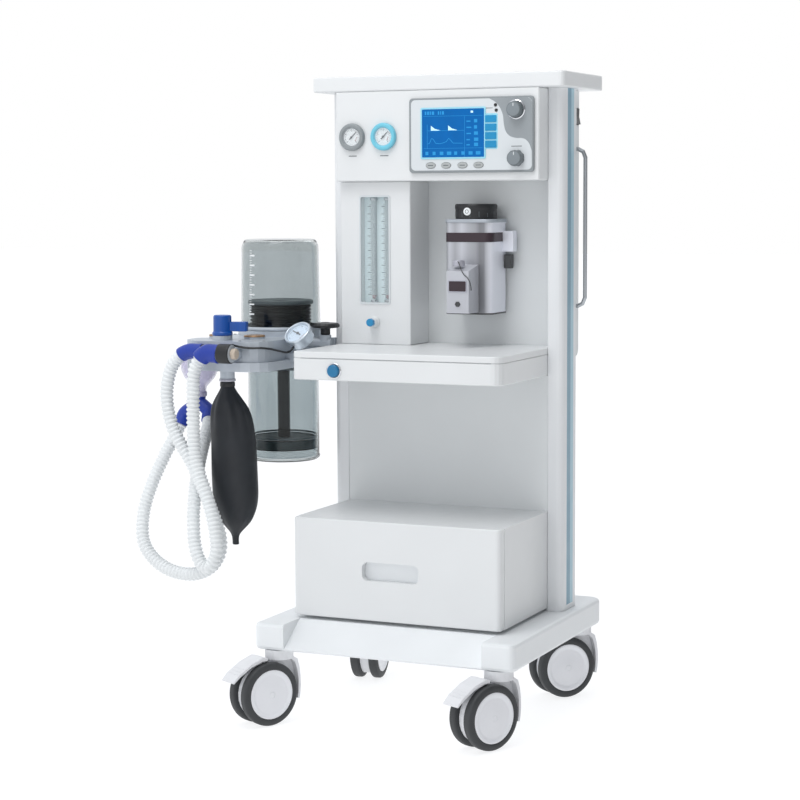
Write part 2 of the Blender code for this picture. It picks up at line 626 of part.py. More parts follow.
def build_vaporizer():
    """Vaporizer: rounded body and lid, filler block, back mount, dial, filler cap and lock."""
    x0, x1, y0, y1 = VAPORIZER
    bottom, shoulder, top = VAPORIZER_Z
    outline = rounded_outline(rectangle(x0, x1, y0, y1, (16, 16, 3, 3)), 5)
    body = prism("vaporizer_body", outline, bottom, shoulder, silver())
    lid_outline = rounded_outline(rectangle(x0 - 1, x1 + 1, y0 - 1, y1 + 1, (17, 17, 3, 3)), 5)
    combine(body, prism("lid_guide", lid_outline, shoulder - 1, top, None), "UNION")
    filler = [(y0 + 5, bottom + 5), (y0 + 5, bottom + 101), (-85, bottom + 88), (-85, bottom + 5)]
    combine(body, prism("filler_guide", filler, 38, 85, None, "X"), "UNION")
    combine(body, box("back_mount_guide", 35, 86, y1 - 5, RECESS_Y - GAP, 850, 960), "UNION")
    combine(body, box("side_mount_guide", x1 - 5, 134, 30, y1, 916, 957), "UNION")

    cap_x, cap_y = FILLER_CAP_AXIS
    seat = bottom + 88 + 13 * (cap_y + 85) / (y0 + 5 + 85) + 4.5
    profile = [(0, 0), (12, 0), (12, 10), (10, 12), (0, 12)]
    turned("filler_cap", profile, silver(), 20, location=(cap_x, cap_y, seat))

    profile = [(0, 0), (DIAL_R - 1, 0), (DIAL_R - 1, 19), (DIAL_R, 21), (DIAL_R, 27), (DIAL_R - 2, 30), (0, 30)]
    turned("vaporizer_dial", profile, dark(), 36, location=(*DIAL_AXIS, top + GAP))

    lock_y, lock_z = LOCK_AXIS
    lever = rounded_outline(rectangle(-8, 8, -14, 14, (3, 3, 3, 3)), 2)
    prism("vaporizer_lock", lever, 0, LOCK_WIDTH, material("dark_grey", (0.08, 0.08, 0.085), 0.5), "X",
          location=(x1 + 1 + GAP, lock_y, lock_z))


# ---- absorber ------------------------------------------------------------------------
def absorber_outline(inset):
    """Plan of the absorber: a lobe for the valves in front of a block under the dome."""
    i = inset
    return rounded_outline([
        (-476 + i, -250 + i, 45 - i), (-286 - i, -250 + i, 50 - i), (-286 - i, 78 - i, 60 - i),
        (-458 + i, 78 - i, 75 - i), (-458 + i, -165 - i, 5), (-476 + i, -165 - i, 12 - i / 2),
    ], 4)


def build_absorber_body():
    """Cast body on its arm, with the dome seat, the two ports and the bag mount."""
    (low, high, inset) = ABSORBER_TIERS[0]
    body = prism("absorber_body", absorber_outline(inset), low, high, silver())
    for index, (low, high, inset) in enumerate(ABSORBER_TIERS[1:]):
        tier = prism(f"absorber_tier_guide_{index}", absorber_outline(inset), low - 1, high, None)
        combine(body, tier, "UNION")

    arm = box("arm_guide", -300, -COLUMN_HALF - 4, 16, 62, 692, 726)
    flange = box("arm_flange_guide", -COLUMN_HALF - 8, -COLUMN_HALF - GAP, 6, 72, 664, 736)
    seat = turned("dome_seat_guide", [(0, 0), (89, 0), (89, 12), (0, 12)], None, 32,
                  location=(*DOME_AXIS, 740.7))
    neck = rod("bag_neck_guide", (*BAG_NECK, BAG_NECK_BOTTOM), (*BAG_NECK, 690), 14.8)
    front_boss = rod("front_port_boss_guide", (-350, -292, 721), (-350, -232, 716), 13)
    front_port = rod("front_port_guide", (-374.7, -290, 721), (-332, -290, 721), 17.5)
    back_boss = rod("back_port_boss_guide", (-412, -264, 721), (-412, -232, 716), 10)
    back_port = rod("back_port_guide", (-427.7, -264.5, 722), (-400, -264.5, 722), 13)
    relief = rod("relief_arm_guide", (-300, APL_AXIS[1], 731), (-234, APL_AXIS[1], 731), 9)
    relief_post = rod("relief_post_guide", (*APL_AXIS, 731), (*APL_AXIS, 745), 12)
    gauge_boss = box("gauge_boss_guide", -300, -262, -132, -110, 696, 712)
    for valve_x in (-352, -432):
        ring = rod(f"valve_ring_guide_{valve_x}", (valve_x, -160, 736), (valve_x, -160, 746), 21.5, sides=24)
        combine(body, ring, "UNION")
    hub = rod("selector_boss_guide", (*SELECTOR_AXIS, 736), (*SELECTOR_AXIS, 751), 20)
    for part in (arm, flange, seat, neck, front_boss, front_port, back_boss, back_port, relief, relief_post,
                 gauge_boss, hub):
        combine(body, part, "UNION")
    rail = [(-460, -180, 716), (-490, -175, 716), (-500, -168, 716), (-502, -157, 716), (-502, -149, 712),
            (-502, -146, 703), (-502, -146, 688)]
    combine(body, pipe("mask_hook_guide", rail, 3, None), "UNION")


def build_bellows_unit():
    """Clear dome over the bellows, which a light top disc rides on."""
    wall = 3.0
    height = DOME_TOP - DOME_SEAT
    outer = [(DOME_R, 0), (DOME_R - 4, height - 9), (DOME_R - 7, height - 2.5), (DOME_R - 12, height), (0, height)]
    inner = [(0, height - wall), (DOME_R - 12, height - wall), (DOME_R - 8, height - 7),
             (DOME_R - wall - 4, height - 12), (DOME_R - wall, 0)]
    turned("bellows_dome", [*inner, *outer], clear(), 32,
           location=(*DOME_AXIS, DOME_SEAT + GAP))

    folds = 4
    pitch = (BELLOWS_TOP - DOME_SEAT - 2 * GAP) / folds
    profile = [(0, 0), (BELLOWS_R - 5, 0)]
    for fold in range(folds):
        base = fold * pitch
        profile += [(BELLOWS_R, base + pitch / 2), (BELLOWS_R - 5, base + pitch)]
    profile.append((0, folds * pitch))
    turned("bellows", profile, material("bellows_rubber", BLACK, 0.6), 24, location=(*DOME_AXIS, DOME_SEAT + GAP))
    turned("bellows_disc", [(0, 0), (68, 0), (68, 7), (66, 9), (0, 9)], grey(), 36,
           location=(*DOME_AXIS, BELLOWS_TOP + GAP))


def build_canister():
    """Clear absorbent canister, open at the top, clamped up under the body."""
    top = ABSORBER_TIERS[0][0] - GAP - CANISTER_BOTTOM
    profile = [(0, 0), (CANISTER_R - 4, 0), (CANISTER_R, 5), (CANISTER_R, top), (CANISTER_R - 4, top),
               (CANISTER_R - 4, 7), (0, 7)]
    turned("absorbent_canister", profile, clear(), 32, location=(*CANISTER_AXIS, CANISTER_BOTTOM))


def build_absorber_controls():
    """Bag and ventilator selector, pressure relief knob, and the airway gauge."""
    lever = turned("selector_lever", [(0, 0), (20.5, 0), (20.5, 6), (18.2, 8), (18.2, 39), (16, 41), (0, 41)],
                   material("blue_plastic", BLUE, 0.35), 28, location=(*SELECTOR_AXIS, 751 + GAP))
    arm_outline = rounded_outline([(8, -7, 0), (34, -8, 0), (52, -10, 3), (52, 10, 3), (34, 8, 0), (8, 7, 0)], 2)
    arm = prism("selector_arm_guide", arm_outline, 8, 28, None, location=(*SELECTOR_AXIS, 751 + GAP))
    arm.rotation_euler.z = math.radians(14)
    combine(lever, arm, "UNION")

    profile = [(0, 0), (10, 0), (10, 14), (29, 15), (29.5, 20), (27, 24), (0, 26)]
    turned("relief_valve_knob", profile, dark(), 32, location=(*APL_AXIS, 745 + GAP))

    out = Vector(AIRWAY_NORMAL).normalized()
    face = Vector(AIRWAY_FACE)
    profile = [(0, -28), (20, -28), (AIRWAY_R - 2, -22), (AIRWAY_R - 1, -3), (AIRWAY_R, -1), (AIRWAY_R - 1, 2),
               (AIRWAY_R - 4, 2), (AIRWAY_R - 5, -3), (0, -3)]
    gauge = turned("airway_gauge", profile, silver(), 24, axis=out, location=face)
    foot = rod("gauge_foot_guide", (-273, -121, 712 + GAP), (-273, -121, 726), 7)
    neck = rod("gauge_neck_guide", (-273, -121, 722), (-266, -133, 742), 6)
    combine(gauge, foot, "UNION")
    combine(gauge, neck, "UNION")
    build_needle("airway_needle", 18, face - out * 2.7, out, -70)


def build_breathing_circuit():
    """Hoses, Y-piece, mask, sampling tube and breathing bag, as they hang when parked."""
    hose_finish = material("hose_white", (0.75, 0.78, 0.78), 0.45)
    tube("front_hose", smooth_route(FRONT_HOSE_ROUTE, 30), HOSE_R, hose_finish, 2)
    tube("back_hose", smooth_route(BACK_HOSE_ROUTE, 30), HOSE_R, hose_finish, 2)
    tube("sampling_tube", smooth_route(SAMPLING_TUBE_ROUTE, 7), 2.2, dark(), 2)

    blue = material("cuff_blue", (0.02, 0.07, 0.40), 0.35)
    x, y, z = Y_PIECE
    piece = rod("y_piece", (x, y, z - 26), (x, y, z), 11, blue)
    for side, route in (("right", FRONT_HOSE_ROUTE), ("left", BACK_HOSE_ROUTE)):
        end = Vector(route[-1])
        heading = (end - Vector(route[-2])).normalized()
        collar = rod(f"y_collar_{side}_guide", end + heading * GAP, end + heading * 16, HOSE_R - 0.5, sides=16)
        leg = rod(f"y_leg_{side}_guide", end + heading * 12, (x, y, z - 14), HOSE_R - 2, sides=16)
        combine(piece, collar, "UNION")
        combine(piece, leg, "UNION")

    depth = MASK_TOP - z - GAP
    profile = [(0, 0), (12, 0), (13, 22), (28, 34), (MASK_R - 3, 56), (MASK_R, depth - 8), (MASK_R - 2, depth),
               (MASK_R - 6, depth), (MASK_R - 5, depth - 10), (MASK_R - 8, 58), (24, 40), (0, 32)]
    turned("face_mask", profile, material("mask_violet", VIOLET, 0.2, 0.0, 0.4), 24, location=(x, y, z + GAP))

    build_bag()


def build_bag():
    """Breathing bag: flattened rounds about a middle line that leans out below the neck."""
    bm = bmesh.new()
    sides = 20
    rings = (  # height, lean in X, half width, half depth
        (656.7, 0, 15, 15), (648, 0, 12.8, 12.8), (633, 1, 21, 19), (617, 3, 31.5, 27), (601, 6, 39.5, 33),
        (584, 8.5, 43.5, 36.5), (560, 10.5, 46, 38.5), (520, 12.5, 47.5, 40), (470, 14, 48.5, 40.5),
        (438, 15, 48.5, 40.5), (410, 15.5, 46, 38), (390, 16, 39.5, 33.5), (373, 16, 31, 27),
        (357, 15.5, 17, 16), (344, 14, 7, 7), (325, 14.5, 5.5, 5.5),
    )
    made = []
    for height, lean, half_width, half_depth in rings:
        ring = []
        for i in range(sides):
            angle = 2 * math.pi * i / sides
            ring.append(bm.verts.new((lean + half_width * math.cos(angle), half_depth * math.sin(angle),
                                      height - BAG_NECK_BOTTOM)))
        made.append(ring)
    bm.faces.new(made[0])
    bm.faces.new(made[-1])
    for upper, lower in zip(made, made[1:]):
        for i in range(sides):
            j = (i + 1) % sides
            bm.faces.new((upper[i], upper[j], lower[j], lower[i]))
    make_object("breathing_bag", bm, material("bag_rubber", (0.03, 0.035, 0.045), 0.6),
                location=(*BAG_NECK, BAG_NECK_BOTTOM))


def put_origin_under_the_middle():
    """Move the machine so that the world origin is at the bottom centre of its rigid pieces."""
    bpy.context.view_layer.update()
    graph = bpy.context.evaluated_depsgraph_get()
    corners = []
    for piece in bpy.data.objects:
        if piece.type == "EMPTY" or piece.hide_render or piece.name in CORD_NODES:
            continue
        solid = piece.evaluated_get(graph)
        corners += [solid.matrix_world @ vertex.co for vertex in solid.to_mesh().vertices]
        solid.to_mesh_clear()
    low = Vector([min(c[i] for c in corners) for i in range(3)])
    high = Vector([max(c[i] for c in corners) for i in range(3)])
    middle = (low + high) / 2
    machine.location = (-middle.x, -middle.y, -low.z)


clear_scene()
machine = bpy.data.objects.new("machine", None)
bpy.context.scene.collection.objects.link(machine)

build_base()
build_side_panels()
build_column_core()
build_rear_housing()
build_top_plate()
build_push_handle()
build_shelf()
build_drawer()
for castor, (stem_x, stem_y, heading) in CASTORS.items():
    build_castor(castor, stem_x, stem_y, heading, castor.startswith("front"))
build_console()
build_pressure_gauges()
build_flowmeter()
build_vaporizer()
build_absorber_body()
build_bellows_unit()
build_canister()
build_absorber_controls()
build_breathing_circuit()
put_origin_under_the_middle()
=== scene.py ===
"""Looks for the veterinary anesthesia machine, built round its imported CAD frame.

Pieces are drawn in millimetres in the machine's own axes (X = 0 on the column's middle plane,
Y = 0 on the front of the side panels, Z up from the floor), then moved into the CAD's frame.
"""
import math
import random

import bmesh
import bpy
from mathutils import Matrix, Vector


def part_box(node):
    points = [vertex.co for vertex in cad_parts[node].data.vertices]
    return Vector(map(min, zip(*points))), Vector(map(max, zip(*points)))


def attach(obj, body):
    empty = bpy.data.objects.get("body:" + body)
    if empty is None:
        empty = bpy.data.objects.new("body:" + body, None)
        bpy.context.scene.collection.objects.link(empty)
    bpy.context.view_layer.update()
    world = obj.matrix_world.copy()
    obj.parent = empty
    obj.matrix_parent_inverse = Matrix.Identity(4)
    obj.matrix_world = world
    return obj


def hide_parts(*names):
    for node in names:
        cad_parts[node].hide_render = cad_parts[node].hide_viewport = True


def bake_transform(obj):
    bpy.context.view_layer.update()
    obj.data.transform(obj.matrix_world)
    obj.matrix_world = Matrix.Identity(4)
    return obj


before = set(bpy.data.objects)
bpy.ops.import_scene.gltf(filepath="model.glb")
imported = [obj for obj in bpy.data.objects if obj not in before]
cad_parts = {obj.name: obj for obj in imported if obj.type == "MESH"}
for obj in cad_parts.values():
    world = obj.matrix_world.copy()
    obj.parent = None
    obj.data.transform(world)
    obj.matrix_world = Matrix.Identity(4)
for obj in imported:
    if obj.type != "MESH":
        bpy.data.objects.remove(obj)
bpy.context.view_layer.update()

MM = 0.001
BASE_BACK = 185.0
tray_low, tray_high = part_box("base_tray")
ORIGIN = Vector(((tray_low.x + tray_high.x) / 2, tray_high.y - BASE_BACK * MM, 0.0))
TO_ROW = Matrix.Translation(ORIGIN) @ Matrix.Scale(MM, 4)

COLUMN_HALF = 251.3
CONSOLE_FRONT = -50.0
BEZEL_FRONT = -56.5
FLOW_FRONT = -33.0
SHELF_FRONT = -254.0
DOME_AXIS = (-370.0, -10.0)
DOME_SEAT = 753.3
BELLOWS_TOP = 804.0
CANISTER_AXIS = (-365.0, -10.0)
CANISTER_BOTTOM = 480.0
VALVE_XS, VALVE_Y = (-352.0, -432.0), -160.0
ABSORBER_TOP = 742.0
BRACKET_FACE = -259.3
FRONT_PORT = Vector((-360.5, -290.0, 721.0))
BACK_PORT = Vector((-427.0, -264.5, 722.0))
SELECTOR_AXIS = (-396.0, -213.0)
SELECTOR_TURN = math.radians(14)
RELIEF_AXIS = (-249.0, -45.0)
AIRWAY_FACE = Vector((-260.0, -150.0, 756.0))
AIRWAY_NORMAL = Vector((-0.166, -0.676, 0.720)).normalized()
BAG_NECK = (-396.0, -195.0)
Y_PIECE = Vector((-503.0, -120.0, 616.0))
WHEEL_R = 62.5
AXLE_HEIGHT = WHEEL_R * math.cos(math.pi / 36)
TRAIL = 38.0
CASTORS = {  # x, y, and the heading that the wheels trail toward, in degrees
    "front_left": (-232.0, -296.0, 241.7),
    "front_right": (232.0, -296.0, 243.7),
    "rear_left": (-232.0, 148.0, 280.0),
    "rear_right": (232.0, 148.0, 228.2),
}
# Each hose's route, from its port on the absorber to the Y-piece
FRONT_HOSE_ROUTE = (
    (-375, -290, 721), (-387, -290, 721), (-401, -290.5, 713), (-412, -291, 697), (-418, -292, 678),
    (-420, -292, 647), (-421, -292, 576), (-418, -293, 522), (-407, -295, 479), (-390, -298, 440),
    (-375, -301, 396), (-366, -303, 352), (-367, -304, 321), (-383, -304, 296), (-404, -301, 304),
    (-421, -293, 337), (-432, -278, 384), (-439, -261, 422), (-445, -241, 460), (-451, -216, 497),
    (-458, -185, 532), (-466, -152, 560), (-475, -135, 575.5),
)
BACK_HOSE_ROUTE = (
    (-428, -264.5, 722), (-442, -264.5, 722), (-462, -264.7, 714), (-480, -265, 696), (-490, -267, 671),
    (-495, -268, 636), (-492, -268, 602), (-483, -267, 568), (-466, -266, 535), (-444, -266, 503),
    (-426, -266, 468), (-408, -266, 430), (-391, -266, 391), (-378, -266, 352), (-380, -266, 318),
    (-398, -266, 291), (-427, -265, 275), (-462, -262, 270), (-502, -257, 275), (-541, -249, 292),
    (-570, -239, 319), (-583, -226, 354), (-586, -208, 396), (-579, -190, 440), (-566, -170, 486),
    (-554, -150, 524), (-544, -136, 553), (-539.5, -131, 566.5),
)

# ---- camera --------------------------------------------------------------------------
CAMERA_PLACE = Vector((1629.74, -3835.91, 1030.41))
CAMERA_AZIMUTH, CAMERA_PITCH, CAMERA_ROLL = 24.30, -5.68, -0.29
LENS_MM, SENSOR_MM = 92.91735, 36.0


def add_camera():
    """A long lens in front and to the right, slightly above the shelf."""
    az, pitch, roll = (math.radians(a) for a in (CAMERA_AZIMUTH, CAMERA_PITCH, CAMERA_ROLL))
    forward = Vector((-math.sin(az) * math.cos(pitch), math.cos(az) * math.cos(pitch), math.sin(pitch)))
    right = Vector((math.cos(az), math.sin(az), 0))
    up = right.cross(forward)
    right, up = (right * math.cos(roll) + up * math.sin(roll), up * math.cos(roll) - right * math.sin(roll))
    data = bpy.data.cameras.new("camera")
    data.sensor_width = SENSOR_MM
    data.lens = LENS_MM
    data.clip_end = 100
    camera = bpy.data.objects.new("camera", data)
    turn = Matrix((right, up, -forward)).transposed().to_4x4()
    camera.matrix_world = Matrix.Translation(TO_ROW @ CAMERA_PLACE) @ turn
    bpy.context.scene.collection.objects.link(camera)
    bpy.context.scene.camera = camera


add_camera()


# ---- materials -----------------------------------------------------------------------
def linear(r, g, b):
    """An sRGB colour of 0 to 255 as linear light."""
    return tuple(c / 255 / 12.92 if c <= 10 else ((c / 255 + 0.055) / 1.055) ** 2.4 for c in (r, g, b))


MIX_FACTOR, MIX_A, MIX_B, MIX_RESULT = 0, 6, 7, 2  # a colour Mix node's sockets


class Maker:
    """Small helper that adds and joins shader nodes."""

    def __init__(self, name):
        self.material = bpy.data.materials.new(name)
        self.material.use_nodes = True
        self.tree = self.material.node_tree
        self.shader = self.tree.nodes["Principled BSDF"]
        self.coordinates = self.tree.nodes.new("ShaderNodeTexCoord").outputs["Object"]

    def node(self, kind, **settings):
        made = self.tree.nodes.new(kind)
        for key, value in settings.items():
            setattr(made, key, value)
        return made

    def join(self, a, b):
        self.tree.links.new(a, b)

    def math(self, operation, a, b=None):
        made = self.node("ShaderNodeMath", operation=operation)
        for socket, value in zip(made.inputs, (a, b)):
            if isinstance(value, (int, float)):
                socket.default_value = value
            elif value is not None:
                self.join(value, socket)
        return made.outputs[0]

    def noise(self, scale, detail=4.0, stretch=(1, 1, 1)):
        mapping = self.node("ShaderNodeMapping")
        mapping.inputs["Scale"].default_value = stretch
        self.join(self.coordinates, mapping.inputs["Vector"])
        made = self.node("ShaderNodeTexNoise")
        made.inputs["Scale"].default_value = scale
        made.inputs["Detail"].default_value = detail
        self.join(mapping.outputs[0], made.inputs["Vector"])
        return made.outputs["Fac"]

    def blend(self, factor, a, b):
        made = self.node("ShaderNodeMix", data_type="RGBA")
        self.join(factor, made.inputs[MIX_FACTOR])
        for socket, value in ((made.inputs[MIX_A], a), (made.inputs[MIX_B], b)):
            if isinstance(value, tuple):
                socket.default_value = (*value, 1)
            else:
                self.join(value, socket)
        return made.outputs[MIX_RESULT]

    def spread(self, value, low, high):
        """Stretch a noise, which stays near its middle, over low to high."""
        made = self.node("ShaderNodeMapRange")
        made.inputs["From Min"].default_value = 0.3
        made.inputs["From Max"].default_value = 0.7
        made.inputs["To Min"].default_value = low
        made.inputs["To Max"].default_value = high
        self.join(value, made.inputs["Value"])
        return made.outputs["Result"]

    def bump(self, height, strength, distance):
        made = self.node("ShaderNodeBump")
        made.inputs["Strength"].default_value = strength
        made.inputs["Distance"].default_value = distance
        self.join(height, made.inputs["Height"])
        self.join(made.outputs[0], self.shader.inputs["Normal"])


def shade(colour, factor):
    return tuple(min(1.0, c * factor) for c in colour)


LOOKS = {}
GLOSS_SCALE = 40
LEAST_ROUGHNESS = 0.02
COAT_ROUGHNESS = 0.08
GRAIN_HEIGHT = 0.0003
CLEAR_IOR = 1.3


def finish(name, rgb, rough=0.4, metal=0.0, vary=0.05, grain=(900, 0.15), stretch=(1, 1, 1), coat=0.0,
           alpha=1.0, blotch=9.0, spread=0.06, glow=0.0, clear=0.0, specular=0.5, stripes_and_painted_reflections=None):
    """Add a look with soft colour variation, uneven gloss and a fine grain.

    rough, metal, coat, alpha, specular and clear are the shader's own values, vary is the change of
    colour and blotch its scale, spread is the change of roughness, and grain is (scale, strength).
    """
    maker = Maker(name)
    base = linear(*rgb)
    wide = maker.noise(blotch, 3.0)
    colour = maker.blend(maker.spread(wide, 0.0, 1.0), shade(base, 1 - vary), shade(base, 1 + vary))
    # this hook paints colour on: the side panels' two-tone stripes, and on the vaporizer, painted reflection
    # bands
    if stripes_and_painted_reflections:
        colour = stripes_and_painted_reflections(maker, colour)
    maker.join(colour, maker.shader.inputs["Base Color"])
    fine = maker.noise(grain[0], 5.0, stretch)
    gloss = maker.noise(GLOSS_SCALE, 4.0, stretch)
    maker.join(maker.spread(gloss, max(rough - spread, LEAST_ROUGHNESS), rough + spread),
               maker.shader.inputs["Roughness"])
    maker.bump(fine, grain[1], GRAIN_HEIGHT)
    values = {"Metallic": metal, "Coat Weight": coat, "Coat Roughness": COAT_ROUGHNESS, "Alpha": alpha,
              "Specular IOR Level": specular, "Transmission Weight": clear}
    if clear:
        values["IOR"] = CLEAR_IOR
    if glow:
        values["Emission Color"] = (*base, 1)
        values["Emission Strength"] = glow
    for socket, value in values.items():
        maker.shader.inputs[socket].default_value = value
    LOOKS[name] = maker.material


STRIPES_BOTTOM = 209.0
STRIPES = ((23.6, 44.3, (118, 156, 176)), (44.3, 60.4, (166, 200, 214)))  # front, back, colour


def panel_stripes(maker, colour):
    """Two blue bands down the outer side of each side panel."""
    parts = maker.node("ShaderNodeSeparateXYZ")
    maker.join(maker.coordinates, parts.inputs[0])
    across = maker.math("ABSOLUTE", maker.math("SUBTRACT", parts.outputs["X"], ORIGIN.x))
    outside = maker.math("GREATER_THAN", across, (COLUMN_HALF - 0.8) * MM)
    low = maker.math("GREATER_THAN", parts.outputs["Z"], STRIPES_BOTTOM * MM)
    side = maker.math("MULTIPLY", outside, low)
    for start, end, rgb in STRIPES:
        after = maker.math("GREATER_THAN", parts.outputs["Y"], ORIGIN.y + start * MM)
        before = maker.math("LESS_THAN", parts.outputs["Y"], ORIGIN.y + end * MM)
        mask = maker.math("MULTIPLY", side, maker.math("MULTIPLY", after, before))
        colour = maker.blend(mask, colour, linear(*rgb))
    return colour


# (X, level) of the painted reflections across the vaporizer's front, painted highlights and painted dark
# bands; its filler block, in front of FILLER_BACK, has one even tone
SATIN_REFLECTION_STEPS = ((10, 0.40), (22, 0.62), (34, 0.46), (48, 0.66), (62, 0.50), (78, 0.40), (87, 0.25), (96, 0.28),
               (102, 0.62), (108, 0.95), (111, 1.0))
FILLER_SHADE = 0.62
FILLER_BACK = -33.0


def painted_reflection_sweep(maker, colour):
    """Painted reflections: soft light and dark bands across the drawn metal that stand in for its highlights
    and reflections, and one even tone on the filler block.
    """
    parts = maker.node("ShaderNodeSeparateXYZ")
    maker.join(maker.coordinates, parts.inputs[0])
    first, last = SATIN_REFLECTION_STEPS[0][0], SATIN_REFLECTION_STEPS[-1][0]
    across = maker.node("ShaderNodeMapRange")
    across.inputs["From Min"].default_value = ORIGIN.x + first * MM
    across.inputs["From Max"].default_value = ORIGIN.x + last * MM
    maker.join(parts.outputs["X"], across.inputs["Value"])
    ramp = maker.node("ShaderNodeValToRGB")
    while len(ramp.color_ramp.elements) < len(SATIN_REFLECTION_STEPS):
        ramp.color_ramp.elements.new(1.0)
    for step, (x, level) in zip(ramp.color_ramp.elements, SATIN_REFLECTION_STEPS):
        step.position = (x - first) / (last - first)
        step.color = (level, level, level, 1)
    maker.join(across.outputs["Result"], ramp.inputs["Fac"])
    body = maker.math("GREATER_THAN", parts.outputs["Y"], ORIGIN.y + FILLER_BACK * MM)
    shading = maker.blend(body, (FILLER_SHADE, FILLER_SHADE, FILLER_SHADE), ramp.outputs["Color"])
    both = maker.node("ShaderNodeMix", data_type="RGBA", blend_type="MULTIPLY")
    both.inputs[MIX_FACTOR].default_value = 1.0
    maker.join(colour, both.inputs[MIX_A])
    maker.join(shading, both.inputs[MIX_B])
    return both.outputs[MIX_RESULT]


finish("enamel", (224, 226, 227), 0.38, coat=0.12, vary=0.012, grain=(1500, 0.03))
finish("enamel_striped", (226, 228, 230), 0.4, vary=0.012, grain=(1500, 0.03),
       coat=0.08, stripes_and_painted_reflections=panel_stripes)
finish("wall", (222, 225, 226), 0.45, vary=0.012, grain=(1500, 0.03))
finish("tray", (233, 236, 238), 0.42, vary=0.015, grain=(900, 0.08))
finish("frame_grey", (140, 146, 149), 0.45, grain=(1500, 0.25))
finish("overlay", (212, 217, 220), 0.42, vary=0.012, grain=(2200, 0.12))
finish("overlay_grey", (148, 154, 158), 0.45, vary=0.015, grain=(2200, 0.12))
finish("button_grey", (172, 176, 176), 0.4, grain=(1500, 0.2))
finish("print_grey", (96, 102, 106), 0.5, grain=(1500, 0.1))
finish("knob_grey", (108, 116, 120), 0.42, grain=(1600, 0.3))
finish("cap_grey", (126, 134, 139), 0.34, grain=(1600, 0.15))
finish("black", (30, 31, 34), 0.38, vary=0.1, grain=(1300, 0.25))
finish("ink", (26, 28, 32), 0.5, vary=0.05, grain=(1300, 0.05))
finish("gloss_black", (9, 11, 12), 0.2, vary=0.1, coat=0.3, grain=(1300, 0.05))
finish("chrome", (222, 224, 228), 0.09, metal=1.0, vary=0.02, grain=(800, 0.02), spread=0.03)
finish("gauge_rim", (208, 218, 228), 0.2, metal=0.6, vary=0.03, grain=(900, 0.05))
finish("satin", (178, 178, 188), 0.36, metal=0.45, vary=0.04, grain=(900, 0.12),
       stretch=(1, 1, 0.06))
# satin with painted reflections: light and dark bands that stand in for the metal's highlights and
# reflections
finish("satin_painted_reflections", (236, 238, 246), 0.34, metal=0.2, vary=0.03, grain=(900, 0.12),
       stretch=(1, 1, 0.06), stripes_and_painted_reflections=painted_reflection_sweep)
finish("dial_blue", (212, 228, 244), 0.5, vary=0.01, grain=(900, 0.05))
finish("brushed", (176, 180, 184), 0.3, metal=0.9, vary=0.05, grain=(1200, 0.2),
       stretch=(1, 1, 0.04))
finish("cast", (186, 193, 201), 0.36, metal=0.3, vary=0.04, grain=(900, 0.12), blotch=22)
finish("brass", (170, 136, 104), 0.35, metal=0.7, vary=0.08, grain=(900, 0.1))
finish("lid_grey", (172, 178, 186), 0.4, metal=0.3, grain=(900, 0.2))
finish("maroon", (44, 26, 36), 0.42, vary=0.08, grain=(1200, 0.15), coat=0.15)
finish("dark_square", (72, 73, 74), 0.5, vary=0.05, grain=(900, 0.3))
finish("dial_white", (236, 239, 240), 0.5, vary=0.01, grain=(900, 0.05))
finish("red", (140, 40, 36), 0.4, vary=0.05)
finish("cyan", (112, 196, 218), 0.4, vary=0.04, grain=(1300, 0.15), coat=0.1)
finish("cyan_knob", (8, 136, 190), 0.3, vary=0.05, coat=0.2)
finish("flush_blue", (4, 110, 158), 0.32, vary=0.06, coat=0.2)
finish("screen", (0, 100, 174), 0.35, vary=0.05, grain=(2500, 0.02), specular=0.15, glow=0.005,
       blotch=30)
finish("screen_light", (40, 148, 212), 0.4, vary=0.02, glow=0.04, specular=0.2)
finish("screen_white", (196, 238, 248), 0.35, vary=0.02, glow=0.2)
finish("key_cyan", (0, 138, 190), 0.4, vary=0.06, grain=(1500, 0.2))
finish("key_rim", (150, 214, 232), 0.4, vary=0.02, grain=(1500, 0.1))
finish("blue", (2, 78, 164), 0.34, vary=0.05, grain=(1100, 0.15), coat=0.1)
finish("cuff", (24, 56, 158), 0.42, vary=0.07, grain=(900, 0.3))
finish("hose", (232, 235, 236), 0.42, vary=0.03, grain=(900, 0.1))
finish("tan", (196, 182, 166), 0.5, vary=0.06, grain=(900, 0.3))
finish("bag", (30, 34, 40), 0.52, vary=0.12, grain=(600, 0.35), blotch=26)
finish("bellows", (14, 18, 20), 0.5, vary=0.12, grain=(800, 0.3))
finish("disc", (112, 122, 126), 0.45, vary=0.05, grain=(900, 0.2))
finish("smoke", (203, 208, 209), 0.03, vary=0.03, grain=(300, 0.01), spread=0.01, clear=1.0)
finish("canister", (198, 205, 207), 0.05, vary=0.03, grain=(300, 0.02), spread=0.02, clear=1.0)
finish("acrylic", (222, 240, 244), 0.06, vary=0.02, grain=(300, 0.01), alpha=0.12, spread=0.02)
finish("glass", (232, 238, 242), 0.04, vary=0.02, grain=(300, 0.01), alpha=0.12, spread=0.01)
finish("flow_back", (226, 240, 243), 0.5, vary=0.02, grain=(900, 0.05))
finish("mask", (206, 202, 226), 0.14, vary=0.04, grain=(400, 0.05), coat=0.2, alpha=0.5, spread=0.03)
finish("mask_rim", (196, 192, 218), 0.3, vary=0.04, grain=(400, 0.1), alpha=0.75)
finish("mesh", (84, 94, 96), 0.5, vary=0.15, grain=(1200, 0.8), blotch=300)
finish("tyre", (58, 60, 62), 0.6, vary=0.12, grain=(500, 0.5), blotch=40)
finish("hub", (236, 237, 241), 0.36, vary=0.03, grain=(900, 0.15))
finish("castor", (226, 227, 230), 0.42, vary=0.03, grain=(800, 0.15))
# near-black painted shade for openings: the rear vent slots and the inlet's socket
finish("opening_shade", (22, 23, 24), 0.7, vary=0.05)


